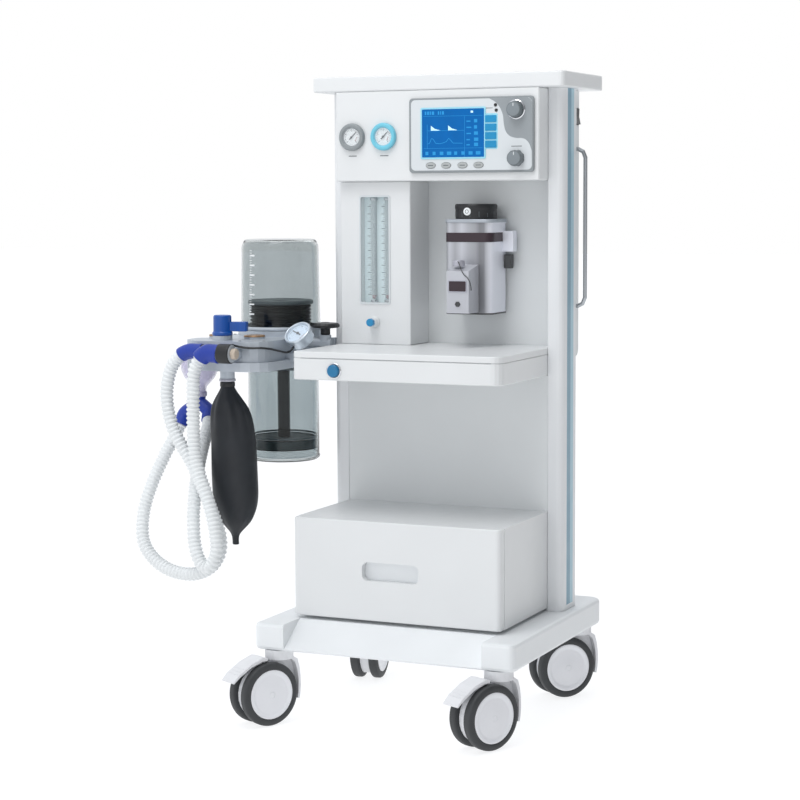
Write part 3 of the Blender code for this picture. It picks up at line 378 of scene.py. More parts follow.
# ---- mesh helpers --------------------------------------------------------------------
def upright(origin, normal, up=(0, 0, 1)):
    """Matrix of a drawing board: X to the right, Y up, Z out along normal."""
    out = Vector(normal).normalized()
    right = Vector(up).cross(out).normalized()
    top = out.cross(right)
    return Matrix.Translation(Vector(origin)) @ Matrix((right, top, out)).transposed().to_4x4()


def facing(x, y, z):
    """A drawing board that faces the front of the machine."""
    return upright((x, y, z), (0, -1, 0))


def spin_axis(origin, axis):
    """Matrix that stands a turned profile on origin along axis."""
    turn = Vector((0, 0, 1)).rotation_difference(Vector(axis)).to_matrix().to_4x4()
    return Matrix.Translation(Vector(origin)) @ turn


def castor_frame(name):
    x, y, heading = CASTORS[name]
    return Matrix.Translation((x, y, 0)) @ Matrix.Rotation(math.radians(heading), 4, "Z")


BEVEL_ANGLE = math.radians(40)


def finished_object(name, bm, look):
    """Turn a bmesh in millimetres into a smooth object with a look, in the CAD's frame."""
    bmesh.ops.recalc_face_normals(bm, faces=bm.faces)
    bm.transform(TO_ROW)
    mesh = bpy.data.meshes.new(name)
    bm.to_mesh(mesh)
    bm.free()
    mesh.shade_smooth()
    mesh.materials.append(LOOKS[look])
    made = bpy.data.objects.new(name, mesh)
    bpy.context.scene.collection.objects.link(made)
    return made


def piece(name, bm, look, body="trolley", replaces=(), sharp=35.0, bevel=0.0, slot=None):
    """A finished piece that rides on a body."""
    made = finished_object(name, bm, look)
    made.data.set_sharp_from_angle(angle=math.radians(sharp))
    if bevel:
        cut = made.modifiers.new("bevel", "BEVEL")
        cut.width = bevel * MM
        cut.segments = 2
        cut.limit_method = "ANGLE"
        cut.angle_limit = BEVEL_ANGLE
    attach(made, body)
    if replaces:
        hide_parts(*replaces)
    return made


def add_prism(bm, outline, low, high, board=Matrix()):
    """Extrude an outline of the board from low to high along the board's Z."""
    rings = []
    for level in (low, high):
        rings.append([bm.verts.new(board @ Vector((x, y, level))) for x, y in outline])
    bm.faces.new(rings[0])
    bm.faces.new(rings[1])
    for i in range(len(outline)):
        j = (i + 1) % len(outline)
        bm.faces.new((rings[0][i], rings[0][j], rings[1][j], rings[1][i]))
    return bm


def add_box(bm, x0, x1, y0, y1, z0, z1, board=Matrix()):
    return add_prism(bm, [(x0, y0), (x1, y0), (x1, y1), (x0, y1)], z0, z1, board)


def slab(name, outline, low, high, board, look, body="trolley", **extra):
    """A piece extruded from an outline on a board."""
    return piece(name, add_prism(bmesh.new(), outline, low, high, board), look, body, **extra)


def add_turned(bm, profile, sides, place=Matrix(), closed=False, radius_at=None):
    """Turn a profile of (radius, height) points; radius 0 closes an end."""
    rings = []
    for radius, height in profile:
        if radius == 0:
            rings.append([bm.verts.new(place @ Vector((0, 0, height)))])
            continue
        ring = []
        for i in range(sides):
            angle = 2 * math.pi * i / sides
            r = radius * (radius_at(angle, height) if radius_at else 1)
            ring.append(bm.verts.new(place @ Vector((r * math.cos(angle), r * math.sin(angle), height))))
        rings.append(ring)
    pairs = list(zip(rings, rings[1:]))
    if closed:
        pairs.append((rings[-1], rings[0]))
    for lower, upper in pairs:
        for i in range(sides):
            j = (i + 1) % sides
            if len(lower) == 1:
                bm.faces.new((lower[0], upper[i], upper[j]))
            elif len(upper) == 1:
                bm.faces.new((lower[i], lower[j], upper[0]))
            else:
                bm.faces.new((lower[i], lower[j], upper[j], upper[i]))
    return bm


def turned(name, profile, look, place, body="trolley", sides=64, closed=False, radius_at=None, **extra):
    return piece(name, add_turned(bmesh.new(), profile, sides, place, closed, radius_at), look, body, **extra)


def rounded(profile, radius, steps=3):
    """Round the inner corners of an open profile."""
    made = [profile[0]]
    for before, corner, after in zip(profile, profile[1:], profile[2:]):
        a, c, b = Vector(before), Vector(corner), Vector(after)
        reach = min(radius, (a - c).length / 2.05, (b - c).length / 2.05)
        start = c + (a - c).normalized() * reach
        end = c + (b - c).normalized() * reach
        for k in range(steps + 1):
            t = k / steps
            point = start * (1 - t) ** 2 + c * 2 * t * (1 - t) + end * t ** 2
            made.append((point.x, point.y))
    made.append(profile[-1])
    return made


def rounded_outline(corners, steps=6):
    """Replace each (x, y, radius) corner of a closed outline by an arc."""
    points = []
    for i, (x, y, radius) in enumerate(corners):
        corner = Vector((x, y))
        before = Vector(corners[i - 1][:2]) - corner
        after = Vector(corners[(i + 1) % len(corners)][:2]) - corner
        if radius <= 0:
            points.append((x, y))
            continue
        half = before.angle(after) / 2
        reach = radius / math.tan(half)
        start = corner + before.normalized() * reach
        end = corner + after.normalized() * reach
        centre = corner + (before.normalized() + after.normalized()).normalized() * (radius / math.sin(half))
        first = math.atan2(start.y - centre.y, start.x - centre.x)
        turn = math.atan2(end.y - centre.y, end.x - centre.x) - first
        turn = (turn + math.pi) % (2 * math.pi) - math.pi
        for k in range(steps + 1):
            angle = first + turn * k / steps
            points.append((centre.x + radius * math.cos(angle), centre.y + radius * math.sin(angle)))
    return points


def rectangle(x0, x1, y0, y1, radius=0.0):
    return rounded_outline([(x0, y0, radius), (x1, y0, radius), (x1, y1, radius), (x0, y1, radius)])


CURVE_STEPS = 24


def smooth_path(route, spacing):
    """Points at an even spacing along a smooth curve through the route's own points."""
    knots = [Vector(point) for point in route]
    knots = [knots[0] * 2 - knots[1]] + knots + [knots[-1] * 2 - knots[-2]]
    fine = []
    for i in range(1, len(knots) - 2):
        a, b, c, d = knots[i - 1:i + 3]
        for k in range(CURVE_STEPS):
            t = k / CURVE_STEPS
            fine.append(0.5 * ((2 * b) + (c - a) * t + (2 * a - 5 * b + 4 * c - d) * t ** 2
                               + (3 * b - a - 3 * c + d) * t ** 3))
    fine.append(knots[-2])
    total = sum((q - p).length for p, q in zip(fine, fine[1:]))
    count = max(2, round(total / spacing))
    points = [fine[0]]
    travelled = 0.0
    for p, q in zip(fine, fine[1:]):
        step = (q - p).length
        while len(points) < count and travelled + step >= total * len(points) / count:
            points.append(p.lerp(q, (total * len(points) / count - travelled) / step))
        travelled += step
    points.append(fine[-1])
    return points


def path_length(points):
    return sum((q - p).length for p, q in zip(points, points[1:]))


SWEEP_GUIDE = Vector((0.31, 0.17, 0.93))  # a direction that no path here starts along


def add_sweep(bm, points, radius_at, sides):
    """A capped round body along a path; radius_at gets the distance from the path's start."""
    across = SWEEP_GUIDE
    rings = []
    distance = 0.0
    for i, point in enumerate(points):
        if i:
            distance += (point - points[i - 1]).length
        run = points[min(i + 1, len(points) - 1)] - points[max(i - 1, 0)]
        across = (across - run * across.dot(run) / run.length_squared).normalized()
        other = run.normalized().cross(across)
        radius = radius_at(distance)
        ring = []
        for k in range(sides):
            angle = 2 * math.pi * k / sides
            ring.append(bm.verts.new(point + (across * math.cos(angle) + other * math.sin(angle)) * radius))
        rings.append(ring)
    bm.faces.new(rings[0])
    bm.faces.new(rings[-1])
    for lower, upper in zip(rings, rings[1:]):
        for k in range(sides):
            j = (k + 1) % sides
            bm.faces.new((lower[k], lower[j], upper[j], upper[k]))
    return bm


def paint(look, *nodes):
    """Give CAD nodes a detailed finish."""
    for name in nodes:
        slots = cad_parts[name].data.materials
        slots.clear()
        slots.append(LOOKS[look])


def screw_head(bm, place, radius=3.2):
    """A domed screw head with a raised cross."""
    dome = [(0.001, 0), (radius, 0), (radius, 0.7), (0.5 * radius, 1.6), (0, 1.7)]
    add_turned(bm, rounded(dome, 0.4), 20, place)
    for turn in (0, 90):
        board = place @ Matrix.Rotation(math.radians(turn), 4, "Z")
        add_box(bm, -0.5 * radius, 0.5 * radius, -0.28, 0.28, 1.4, 1.85, board)


# ---- breathing circuit ---------------------------------------------------------------
CORRUGATION = 8.6
HOSE_CUFF = 8.0
HOSE_CUFF_RADIUS = 11.5
RIB_ROOT, RIB_DEPTH = 10.9, 2.9


def corrugated(length):
    """Radius of a ribbed hose: plain cuffs at both ends and round ribs between them."""
    def radius(distance):
        wave = 0.5 + 0.5 * math.cos(2 * math.pi * distance / CORRUGATION)
        inset = min(distance, length - distance)
        return HOSE_CUFF_RADIUS if inset < HOSE_CUFF else RIB_ROOT + RIB_DEPTH * wave ** 0.7
    return radius


def build_hose(name, node, route):
    points = smooth_path(route, CORRUGATION / 7)
    length = path_length(points)
    bm = add_sweep(bmesh.new(), points, corrugated(length), 24)
    hose = piece(name, bm, "hose", replaces=[node], sharp=75, slot="hose_white")
    return points


PORT_STUB = 14.0
CUFF_LIP = 0.8
CUFF_RIB_PITCH = 4.2


def cuff_radius(length, base):
    """A moulded cuff: a rolled lip at its mouth, grip ribs, and a taper onto the hose."""
    def radius(distance):
        t = distance / length
        if t < 0.1:
            return base + CUFF_LIP * math.sin(math.pi * t / 0.1)
        ribs = 0.45 * max(0.0, math.cos(2 * math.pi * distance / CUFF_RIB_PITCH)) if 0.55 < t < 0.95 else 0.0
        return base - 0.9 * t + ribs
    return radius


def build_cuff(name, points, count, base):
    """A blue cuff that covers the port's stub and the hose up to its point number count."""
    start = points[0]
    back = (points[0] - points[3]).normalized()
    path = [start + back * PORT_STUB * (1 - k / 6) for k in range(6)] + points[:count]
    bm = add_sweep(bmesh.new(), path, cuff_radius(path_length(path), base), 32)
    piece(name, bm, "cuff", sharp=60, slot="cuff_blue")


def build_y_piece():
    """Moulded Y: two cuffed legs that meet under a straight patient port."""
    bm = bmesh.new()
    x, y, z = Y_PIECE
    for route in (FRONT_HOSE_ROUTE, BACK_HOSE_ROUTE):
        end = Vector(route[-1])
        heading = (end - Vector(route[-2])).normalized()
        path = smooth_path([end - heading * 9, end, end + heading * 17, Vector((x, y, z - 12))], 1.6)
        length = path_length(path)
        add_sweep(bm, path, lambda d: 14.6 - 3.4 * max(0.0, d / length - 0.45) + (0.5 if d < 3 else 0), 28)
    profile = [(0.001, -30), (12.2, -30), (12.2, -16), (11.2, -12), (11.2, -3), (11.8, -2), (11.8, -0.3),
               (0.001, -0.3)]
    add_turned(bm, rounded(profile, 2), 40, Matrix.Translation(Y_PIECE))
    return piece("y_connector", bm, "cuff", replaces=["y_piece"], sharp=50, slot="cuff_blue")


def build_mask():
    """Clear violet mask with a soft rolled rim, over its tapered neck."""
    depth = 85.7
    outer = [(13.0, 0.3), (13.4, 20), (22, 29), (32, 40), (38.6, 56), (41.0, depth - 9)]
    inner = [(37.6, depth - 9), (35.0, 57), (28.6, 43), (20, 33), (10.4, 26), (10.4, 0.3)]
    place = Matrix.Translation(Y_PIECE)
    turned("mask_cup", rounded(outer, 5) + rounded(inner, 5), "mask", place, closed=True,
           replaces=["face_mask"], slot="mask_violet")
    rim = [(39.2 + 2.8 * math.cos(a), depth - 3.4 + 5.6 * math.sin(a) * 0.6)
           for a in [2 * math.pi * k / 16 for k in range(16)]]
    turned("mask_rim", rim, "mask_rim", place, closed=True, slot="mask_violet")
    band = [(13.8, 1), (14.6, 2), (14.6, 9), (13.8, 10)]
    turned("mask_band", band, "mask_rim", place, closed=True, sides=48)


y_connector = build_y_piece()
build_mask()
back_points = build_hose("corrugated_hose_back", "back_hose", BACK_HOSE_ROUTE)
front_points = build_hose("corrugated_hose_front", "front_hose", FRONT_HOSE_ROUTE)
build_cuff("hose_cuff_front", front_points, 27, 18.5)
build_cuff("hose_cuff_back", back_points, 30, 15.6)


BAG_RINGS = (  # height, lean to the right, half width, half depth
    (656.7, 0, 12.4, 12.4), (650, 0, 12.6, 12.6), (643, 0.3, 14.6, 14.4), (633, 1, 21, 19),
    (625, 2, 26.6, 23.4), (617, 3, 31.5, 27), (609, 4.5, 36, 30.4), (601, 6, 39.5, 33),
    (584, 8.5, 43.5, 36.5),
    (560, 10.5, 46, 38.5), (540, 11.6, 46.9, 39.4), (520, 12.5, 47.5, 40), (495, 13.3, 48.1, 40.3),
    (470, 14, 48.5, 40.5), (438, 15, 48.5, 40.5), (424, 15.2, 47.7, 39.7), (410, 15.5, 46, 38),
    (400, 15.8, 43.2, 36), (390, 16, 39.5, 33.5), (381, 16, 35.4, 30.4), (373, 16, 31, 27),
    (365, 15.8, 24.4, 22), (357, 15.5, 17, 16), (350, 14.6, 11, 10.6), (344, 14, 7.6, 7.6),
    (338, 14, 6.8, 6.8),
    (331, 14.2, 6.4, 6.4), (326, 14.5, 7.2, 7.2), (324.8, 14.5, 5, 5),
)


def build_bag():
    """Rubber bag: a lofted, slightly sagging body with soft creases near both ends."""
    bm = bmesh.new()
    sides = 72
    made = []
    for height, lean, half_width, half_depth in BAG_RINGS:
        crease = max(0.0, 1 - abs(height - 600) / 60) * 0.05
        ripple = max(0.0, 1 - abs(height - 372) / 34) * 0.04
        ring = []
        for i in range(sides):
            angle = 2 * math.pi * i / sides
            swell = 1 + crease * math.sin(9 * angle) + ripple * math.sin(7 * angle + 0.6)
            swell += 0.008 * math.sin(3 * angle + height / 21)
            ring.append(bm.verts.new((BAG_NECK[0] + lean + half_width * swell * math.cos(angle),
                                      BAG_NECK[1] + half_depth * swell * math.sin(angle), height)))
        made.append(ring)
    bm.faces.new(made[0])
    bm.faces.new(made[-1])
    for upper, lower in zip(made, made[1:]):
        for i in range(sides):
            j = (i + 1) % sides
            bm.faces.new((upper[i], upper[j], lower[j], lower[i]))
    bag = piece("rubber_bag", bm, "bag", replaces=["breathing_bag"], sharp=60, slot="bag_rubber")
    smooth = bag.modifiers.new("smooth", "SUBSURF")
    smooth.levels = smooth.render_levels = 1
    place = Matrix.Translation((*BAG_NECK, 0))
    band = [(13.0, 646.5), (15.2, 647), (15.2, 655.4), (13.0, 656)]
    turned("bag_neck_band", rounded(band, 0.6), "black", place, closed=True, sides=48)
    ring = [(14.9, 657.3), (16.6, 657.6), (16.6, 662), (15, 663.4)]
    turned("bag_mount_ring", rounded(ring, 0.7), "satin", place, closed=True, sides=48)


build_bag()


# ---- absorber ------------------------------------------------------------------------
DOME_HEIGHT = 187.0
DOME_RADIUS, DOME_TAPER = 84.2, 4.0 / 173
MARKS_START = math.radians(247)


def build_dome():
    """Clear dome with a rolled foot, printed scale marks and a clamping ring."""
    height = DOME_HEIGHT
    place = Matrix.Translation((*DOME_AXIS, DOME_SEAT))
    outer = [(84.0, 0), (84.0, 4), (82.6, 6), (80.0, height - 14), (74, height - 1), (60, height),
             (0, height)]
    inner = [(0, height - 3), (60, height - 3), (72, height - 4.5), (77.0, height - 15), (79.4, 6), (80, 0)]
    turned("dome_shell", rounded(inner, 5, 4) + rounded(outer, 5, 4), "smoke", place, sides=96,
           replaces=["bellows_dome"], slot="clear_plastic")
    rim = [(84.2, 0.2), (87.6, 0.4), (88.2, 3), (87.0, 7.0), (84.2, 7.4)]
    turned("dome_clamp_ring", rounded(rim, 0.8), "cast", place, sides=96, closed=True)
    marks = bmesh.new()
    for index, level in enumerate(range(34, 168, 5)):
        major = index % 4 == 0
        reach = 0.17 if major else 0.07
        half = 1.5 if major else 0.5
        radius = DOME_RADIUS - DOME_TAPER * level
        rows = []
        for lift in (-half, half):
            row = []
            for k in range(7):
                angle = MARKS_START + reach * k / 6
                point = Vector((radius * math.cos(angle), radius * math.sin(angle), level + lift))
                row.append(marks.verts.new(place @ point))
            rows.append(row)
        for k in range(6):
            marks.faces.new((rows[0][k], rows[0][k + 1], rows[1][k + 1], rows[1][k]))
    piece("dome_scale_marks", marks, "dial_white")


BELLOWS_FOLDS = 7


def build_bellows():
    """Folded rubber bellows, and the disc that sits on it."""
    pitch = (BELLOWS_TOP - DOME_SEAT - 0.6) / BELLOWS_FOLDS
    profile = [(0, 0.2), (52, 0.2)]
    for fold in range(BELLOWS_FOLDS):
        base = 0.2 + fold * pitch
        profile += [(60.5, base + 0.1 * pitch), (65.2, base + 0.5 * pitch), (60.5, base + 0.9 * pitch)]
    profile += [(52, 0.2 + BELLOWS_FOLDS * pitch), (0, 0.2 + BELLOWS_FOLDS * pitch)]
    bm = add_turned(bmesh.new(), rounded(profile, 1.6, 2), 72, Matrix.Translation((*DOME_AXIS, DOME_SEAT)))
    folded = finished_object("bellows_folds", bm, "bellows")
    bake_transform(folded)
    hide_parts("bellows")
    profile = [(0, 0), (66, 0), (68, 1.6), (68, 6), (66, 8.6), (52, 9), (50, 7.4), (20, 7.4), (18, 9), (0, 9)]
    place = Matrix.Translation((*DOME_AXIS, BELLOWS_TOP + 0.3))
    turned("bellows_plate", rounded(profile, 1.2), "disc", place, "bellows_top", sides=80,
           replaces=["bellows_disc"], slot="grey_plastic")


def build_canister():
    """Clear canister with lips, a dark grid, a centre tube and two seal rings."""
    place = Matrix.Translation((*CANISTER_AXIS, CANISTER_BOTTOM))
    outer = [(0, 0), (70, 0), (75.4, 5), (75.4, 9), (74, 11), (74, 190), (75.4, 192), (75.4, 201.2)]
    inner = [(71, 201.2), (71, 7), (0, 7)]
    turned("canister_shell", rounded(outer, 2.5) + rounded(inner, 2), "canister", place, sides=96,
           replaces=["absorbent_canister"], slot="clear_plastic")
    grid = bmesh.new()
    add_turned(grid, [(0, 24), (69.6, 24), (69.6, 44), (0, 44)], 72, place)
    piece("canister_grid", grid, "mesh")
    for index, level in enumerate((23.0, 43.0)):
        edge = [(66.0, level), (70.2, level), (70.2, level + 1.8), (66.0, level + 1.8)]
        turned(f"canister_grid_edge_{index}", rounded(edge, 0.4), "gloss_black", place, closed=True, sides=72)
    tube = [(0, 44.5), (13, 44.5), (13, 199), (0, 199)]
    turned("canister_tube", rounded(tube, 1), "gloss_black", place, sides=40)
    for index, level in enumerate((46, 192)):
        ring = [(69.0, level), (70.6, level), (70.6, level + 4), (69.0, level + 4)]
        turned(f"canister_seal_{index}", rounded(ring, 0.5), "frame_grey", place, closed=True, sides=72)


def build_check_valves():
    """Two one-way valves: a brass ring, a clear cap and the disc inside."""
    for index, x in enumerate(VALVE_XS):
        place = Matrix.Translation((x, VALVE_Y, ABSORBER_TOP + 4))
        ring = [(16.5, 0.1), (21.6, 0.1), (21.6, 2.4), (20.4, 3.6), (17, 3.6)]
        turned(f"valve_ring_{index}", rounded(ring, 0.7), "brass", place, closed=True,
               radius_at=lambda a, h: 1 + 0.008 * math.cos(40 * a))
        disc = [(0, 0.3), (14, 0.3), (14, 1.2), (0, 1.2)]
        turned(f"valve_disc_{index}", rounded(disc, 0.3), "dial_white", place)
        cap = [(16.8, 0.6), (16.4, 3.4), (13, 5.6), (0.001, 6.2)]
        turned(f"valve_cap_{index}", rounded(cap, 3, 5), "glass", place)


def build_airway_gauge():
    """Tilted gauge: a rolled chrome rim, a printed dial under glass and a clamped foot."""
    place = spin_axis(AIRWAY_FACE, AIRWAY_NORMAL)
    bm = bmesh.new()
    case = [(0, -28), (19, -28), (26.6, -22.5), (27.8, -20), (27.8, -4), (29, -2.6), (29, 0.6), (27, 2.2),
            (25, 2), (23.8, -0.4), (23.4, -3.6), (0, -3.6)]
    add_turned(bm, rounded(case, 1.2), 72, place)
    foot = [Vector((-273, -121, 712.4)), Vector((-273, -121, 722)), Vector((-272, -123, 729)),
            Vector((-267.5, -130, 738)), Vector((-265, -134, 744))]
    add_sweep(bm, smooth_path(foot, 2), lambda d: 7.0 if d < 9 else 6.2, 32)
    piece("airway_case", bm, "gauge_rim", replaces=["airway_gauge"], slot="cast_aluminium")
    build_dial("airway", upright(AIRWAY_FACE - AIRWAY_NORMAL * 3.5, AIRWAY_NORMAL), 23.2, 30, "dial_blue")
    turned("airway_lens", rounded([(0, 0.2), (23.6, 0.2), (23.6, 0.9), (0, 1.3)], 0.4), "glass", place)


DIAL_SWEEP = 270
SECTOR_SWEEP, SECTOR_STEPS = 45, 12


def build_dial(name, board, radius, divisions, look="dial_white"):
    """A dial with a ring of short and long marks and a coloured sector."""
    bm = add_turned(bmesh.new(), rounded([(0, 0), (radius, 0), (radius, 0.35), (0, 0.35)], 0.1), 64, board)
    piece(f"{name}_dial", bm, look)
    marks = bmesh.new()
    for index in range(divisions + 1):
        angle = math.radians(225 - DIAL_SWEEP * index / divisions)
        long_mark = index % 5 == 0
        depth = 4.2 if long_mark else 2.4
        width = 0.45 if long_mark else 0.25
        turn = board @ Matrix.Rotation(angle, 4, "Z")
        add_box(marks, radius - 1.6 - depth, radius - 1.6, -width, width, 0.36, 0.46, turn)
    piece(f"{name}_marks", marks, "ink")
    sector = bmesh.new()
    for index in range(SECTOR_STEPS):
        a0 = math.radians(-45 + SECTOR_SWEEP * index / SECTOR_STEPS)
        a1 = math.radians(-45 + SECTOR_SWEEP * (index + 1) / SECTOR_STEPS)
        corners = []
        for angle, r in ((a0, radius - 7.6), (a1, radius - 7.6), (a1, radius - 6.4), (a0, radius - 6.4)):
            corners.append(sector.verts.new(board @ Vector((r * math.cos(angle), r * math.sin(angle), 0.42))))
        sector.faces.new(corners)
    piece(f"{name}_sector", sector, "red")


def fluted(count, depth, top, bottom=-1, power=2):
    """Shallow flutes round a knob's side, between two heights."""
    def radius(angle, height):
        if not bottom < height <= top:
            return 1.0
        return 1 - depth * (0.5 + 0.5 * math.cos(count * angle)) ** power
    return radius


def build_absorber():
    paint("cast", "absorber_body")
    build_dome()
    build_bellows()
    build_canister()
    build_check_valves()
    build_airway_gauge()

    place = Matrix.Translation((*RELIEF_AXIS, 745.3))
    profile = [(0, 0), (10, 0), (10, 13), (27, 14.6), (29.5, 17), (29.5, 20.5), (26, 24), (9, 25.4), (8, 26),
               (0, 26)]
    turned("relief_knob_cap", rounded(profile, 1.4), "black", place, "relief_knob", sides=96,
           radius_at=fluted(24, 0.025, 22, 15), replaces=["relief_valve_knob"], slot="black_plastic")

    place = Matrix.Translation((*SELECTOR_AXIS, 751.3))
    bm = bmesh.new()
    profile = [(0, 0), (20.5, 0), (20.5, 6), (18.4, 8), (18.2, 38), (16.4, 41), (0, 41)]
    add_turned(bm, rounded(profile, 1.6), 72, place)
    arm = [(6, -7, 0), (30, -7, 4), (36, -10, 4), (51.5, -10, 3), (51.5, 10, 3), (36, 10, 4), (30, 7, 4),
           (6, 7, 0)]
    turn = place @ Matrix.Rotation(SELECTOR_TURN, 4, "Z")
    add_prism(bm, rounded_outline(arm, 3), 8.4, 27.6, turn)
    piece("selector_handle", bm, "blue", "selector_lever", replaces=["selector_lever"], bevel=0.8,
          slot="blue_plastic")
    pointer = add_box(bmesh.new(), -14, 14, -0.8, 0.8, 41.0, 41.4, turn)
    piece("selector_mark", pointer, "dial_white", "selector_lever")

    tan = [(0, 0), (10, 0), (10.8, 1), (10.8, 9), (9.6, 10.4), (0, 11)]
    plug_place = FRONT_PORT + Vector((28.5, 0, 0))
    turned("port_plug", rounded(tan, 1), "tan", spin_axis(plug_place, (1, 0, 0)), sides=48)
    sleeve = [(17.6, 0), (19.4, 0.6), (19.4, 26), (17.6, 28)]
    turned("port_sleeve", rounded(sleeve, 0.8), "black", spin_axis(FRONT_PORT, (1, 0, 0)), closed=True)
    sleeve = [(13.1, 0), (13.8, 0.8), (13.8, 25), (13.1, 26)]
    turned("back_port_sleeve", rounded(sleeve, 0.8), "gloss_black", spin_axis(BACK_PORT, (1, 0, 0)),
           closed=True, sides=48)

    bolts = bmesh.new()
    for x, y in ((-300, -218), (-300, 30), (-440, 46), (-452, -130), (-452, -60), (-298, -100), (-345, -235)):
        screw_head(bolts, Matrix.Translation((x, y, ABSORBER_TOP)), 3.6)
    for z in (676, 724):
        for y in (11, 67):
            screw_head(bolts, spin_axis((BRACKET_FACE, y, z), (-1, 0, 0)), 3.0)
    piece("absorber_screws", bolts, "brushed")
    paint("black", "sampling_tube")


build_absorber()


# ---- console -------------------------------------------------------------------------
BUTTON_XS = (-7.0, 26.0, 61.0, 95.0)
BUTTON_Z = 1087.5
BUTTON_HOLE = (10.9, 6.4)
KEY_LEVELS, KEY_HEIGHT = (1170.4, 1153.8, 1137.4, 1121.0), 13.6
OVERLAY_TOP = 0.62
KNOB_SEAT = BEZEL_FRONT - 0.9
PANEL_GAUGES = {"oxygen": (-181.5, "frame_grey", "grey_plastic"), "pipeline": (-111.5, "cyan", "cyan_ring")}
PANEL_GAUGE_Z = 1146.0
TRACE_LIFT = 0.07


def build_bezel():
    """Printed overlay with its grey sweep, the keys beside the screen and two lamps."""
    paint("frame_grey", "ventilator_bezel")
    front = facing(0, BEZEL_FRONT, 0)
    outline = rectangle(-49.5, 206.5, 1077.5, 1216.5, 9)
    piece("overlay_sheet", build_sheet_with_holes(outline, front), "overlay", bevel=0.12)
    wave = [(118, 1216.4), (131, 1209), (141, 1197), (146.5, 1183), (148.5, 1166), (152.5, 1152), (161, 1143),
            (174, 1139), (187, 1138.4), (196, 1134), (202, 1126), (206.4, 1114)]
    corner = [(206.4, 1207.5), (203.8, 1213.8), (197.5, 1216.4)]
    slab("overlay_sweep", smooth_outline(wave) + corner, OVERLAY_TOP, 0.8, front, "overlay_grey")

    slab("key_surround", rectangle(106.5, 135.5, 1118.5, 1187.5, 3), OVERLAY_TOP, 0.85, front, "key_rim")
    keys = bmesh.new()
    for level in KEY_LEVELS:
        add_prism(keys, rectangle(109, 133, level, level + KEY_HEIGHT, 1.5), 0.85, 2.0, front)
    piece("soft_keys", keys, "key_cyan", bevel=0.5)
    lamps = bmesh.new()
    for x, z in ((131, 1203.6), (132.5, 1193.4)):
        add_turned(lamps, rounded([(0.001, 0.6), (3.4, 0.6), (3.4, 1.4), (0, 2.2)], 0.8), 24,
                   front @ Matrix.Translation((x, z, 0)))
    piece("status_lamps", lamps, "gloss_black")
    prints = bmesh.new()
    add_box(prints, 110, 125, 1197.2, 1198.4, OVERLAY_TOP, 0.7, front)
    add_box(prints, 164, 186, 1122.4, 1123.8, OVERLAY_TOP, 0.7, front)
    piece("overlay_print", prints, "print_grey")


def smooth_outline(points):
    """Round off an open line of points."""
    path = smooth_path([Vector((x, y, 0)) for x, y in points], 3)
    return [(p.x, p.y) for p in path]


def build_sheet_with_holes(outline, board):
    """Thin sheet with an oval hole over each function button."""
    bm = bmesh.new()
    rings = [[bm.verts.new(board @ Vector((x, y, 0.1))) for x, y in outline]]
    half_width, half_height = BUTTON_HOLE
    for x in BUTTON_XS:
        oval = []
        for k in range(32):
            angle = 2 * math.pi * k / 32
            place = Vector((x + half_width * math.cos(angle), BUTTON_Z + half_height * math.sin(angle), 0.1))
            oval.append(bm.verts.new(board @ place))
        rings.append(oval)
    edges = []
    for ring in rings:
        for i in range(len(ring)):
            edges.append(bm.edges.new((ring[i], ring[(i + 1) % len(ring)])))
    bmesh.ops.triangle_fill(bm, use_beauty=True, edges=edges)
    out = (board.to_3x3() @ Vector((0, 0, 1))).normalized() * 0.5
    faces = bmesh.ops.extrude_face_region(bm, geom=bm.faces[:])
    moved = [v for v in faces["geom"] if isinstance(v, bmesh.types.BMVert)]
    bmesh.ops.translate(bm, verts=moved, vec=out)
    return bm


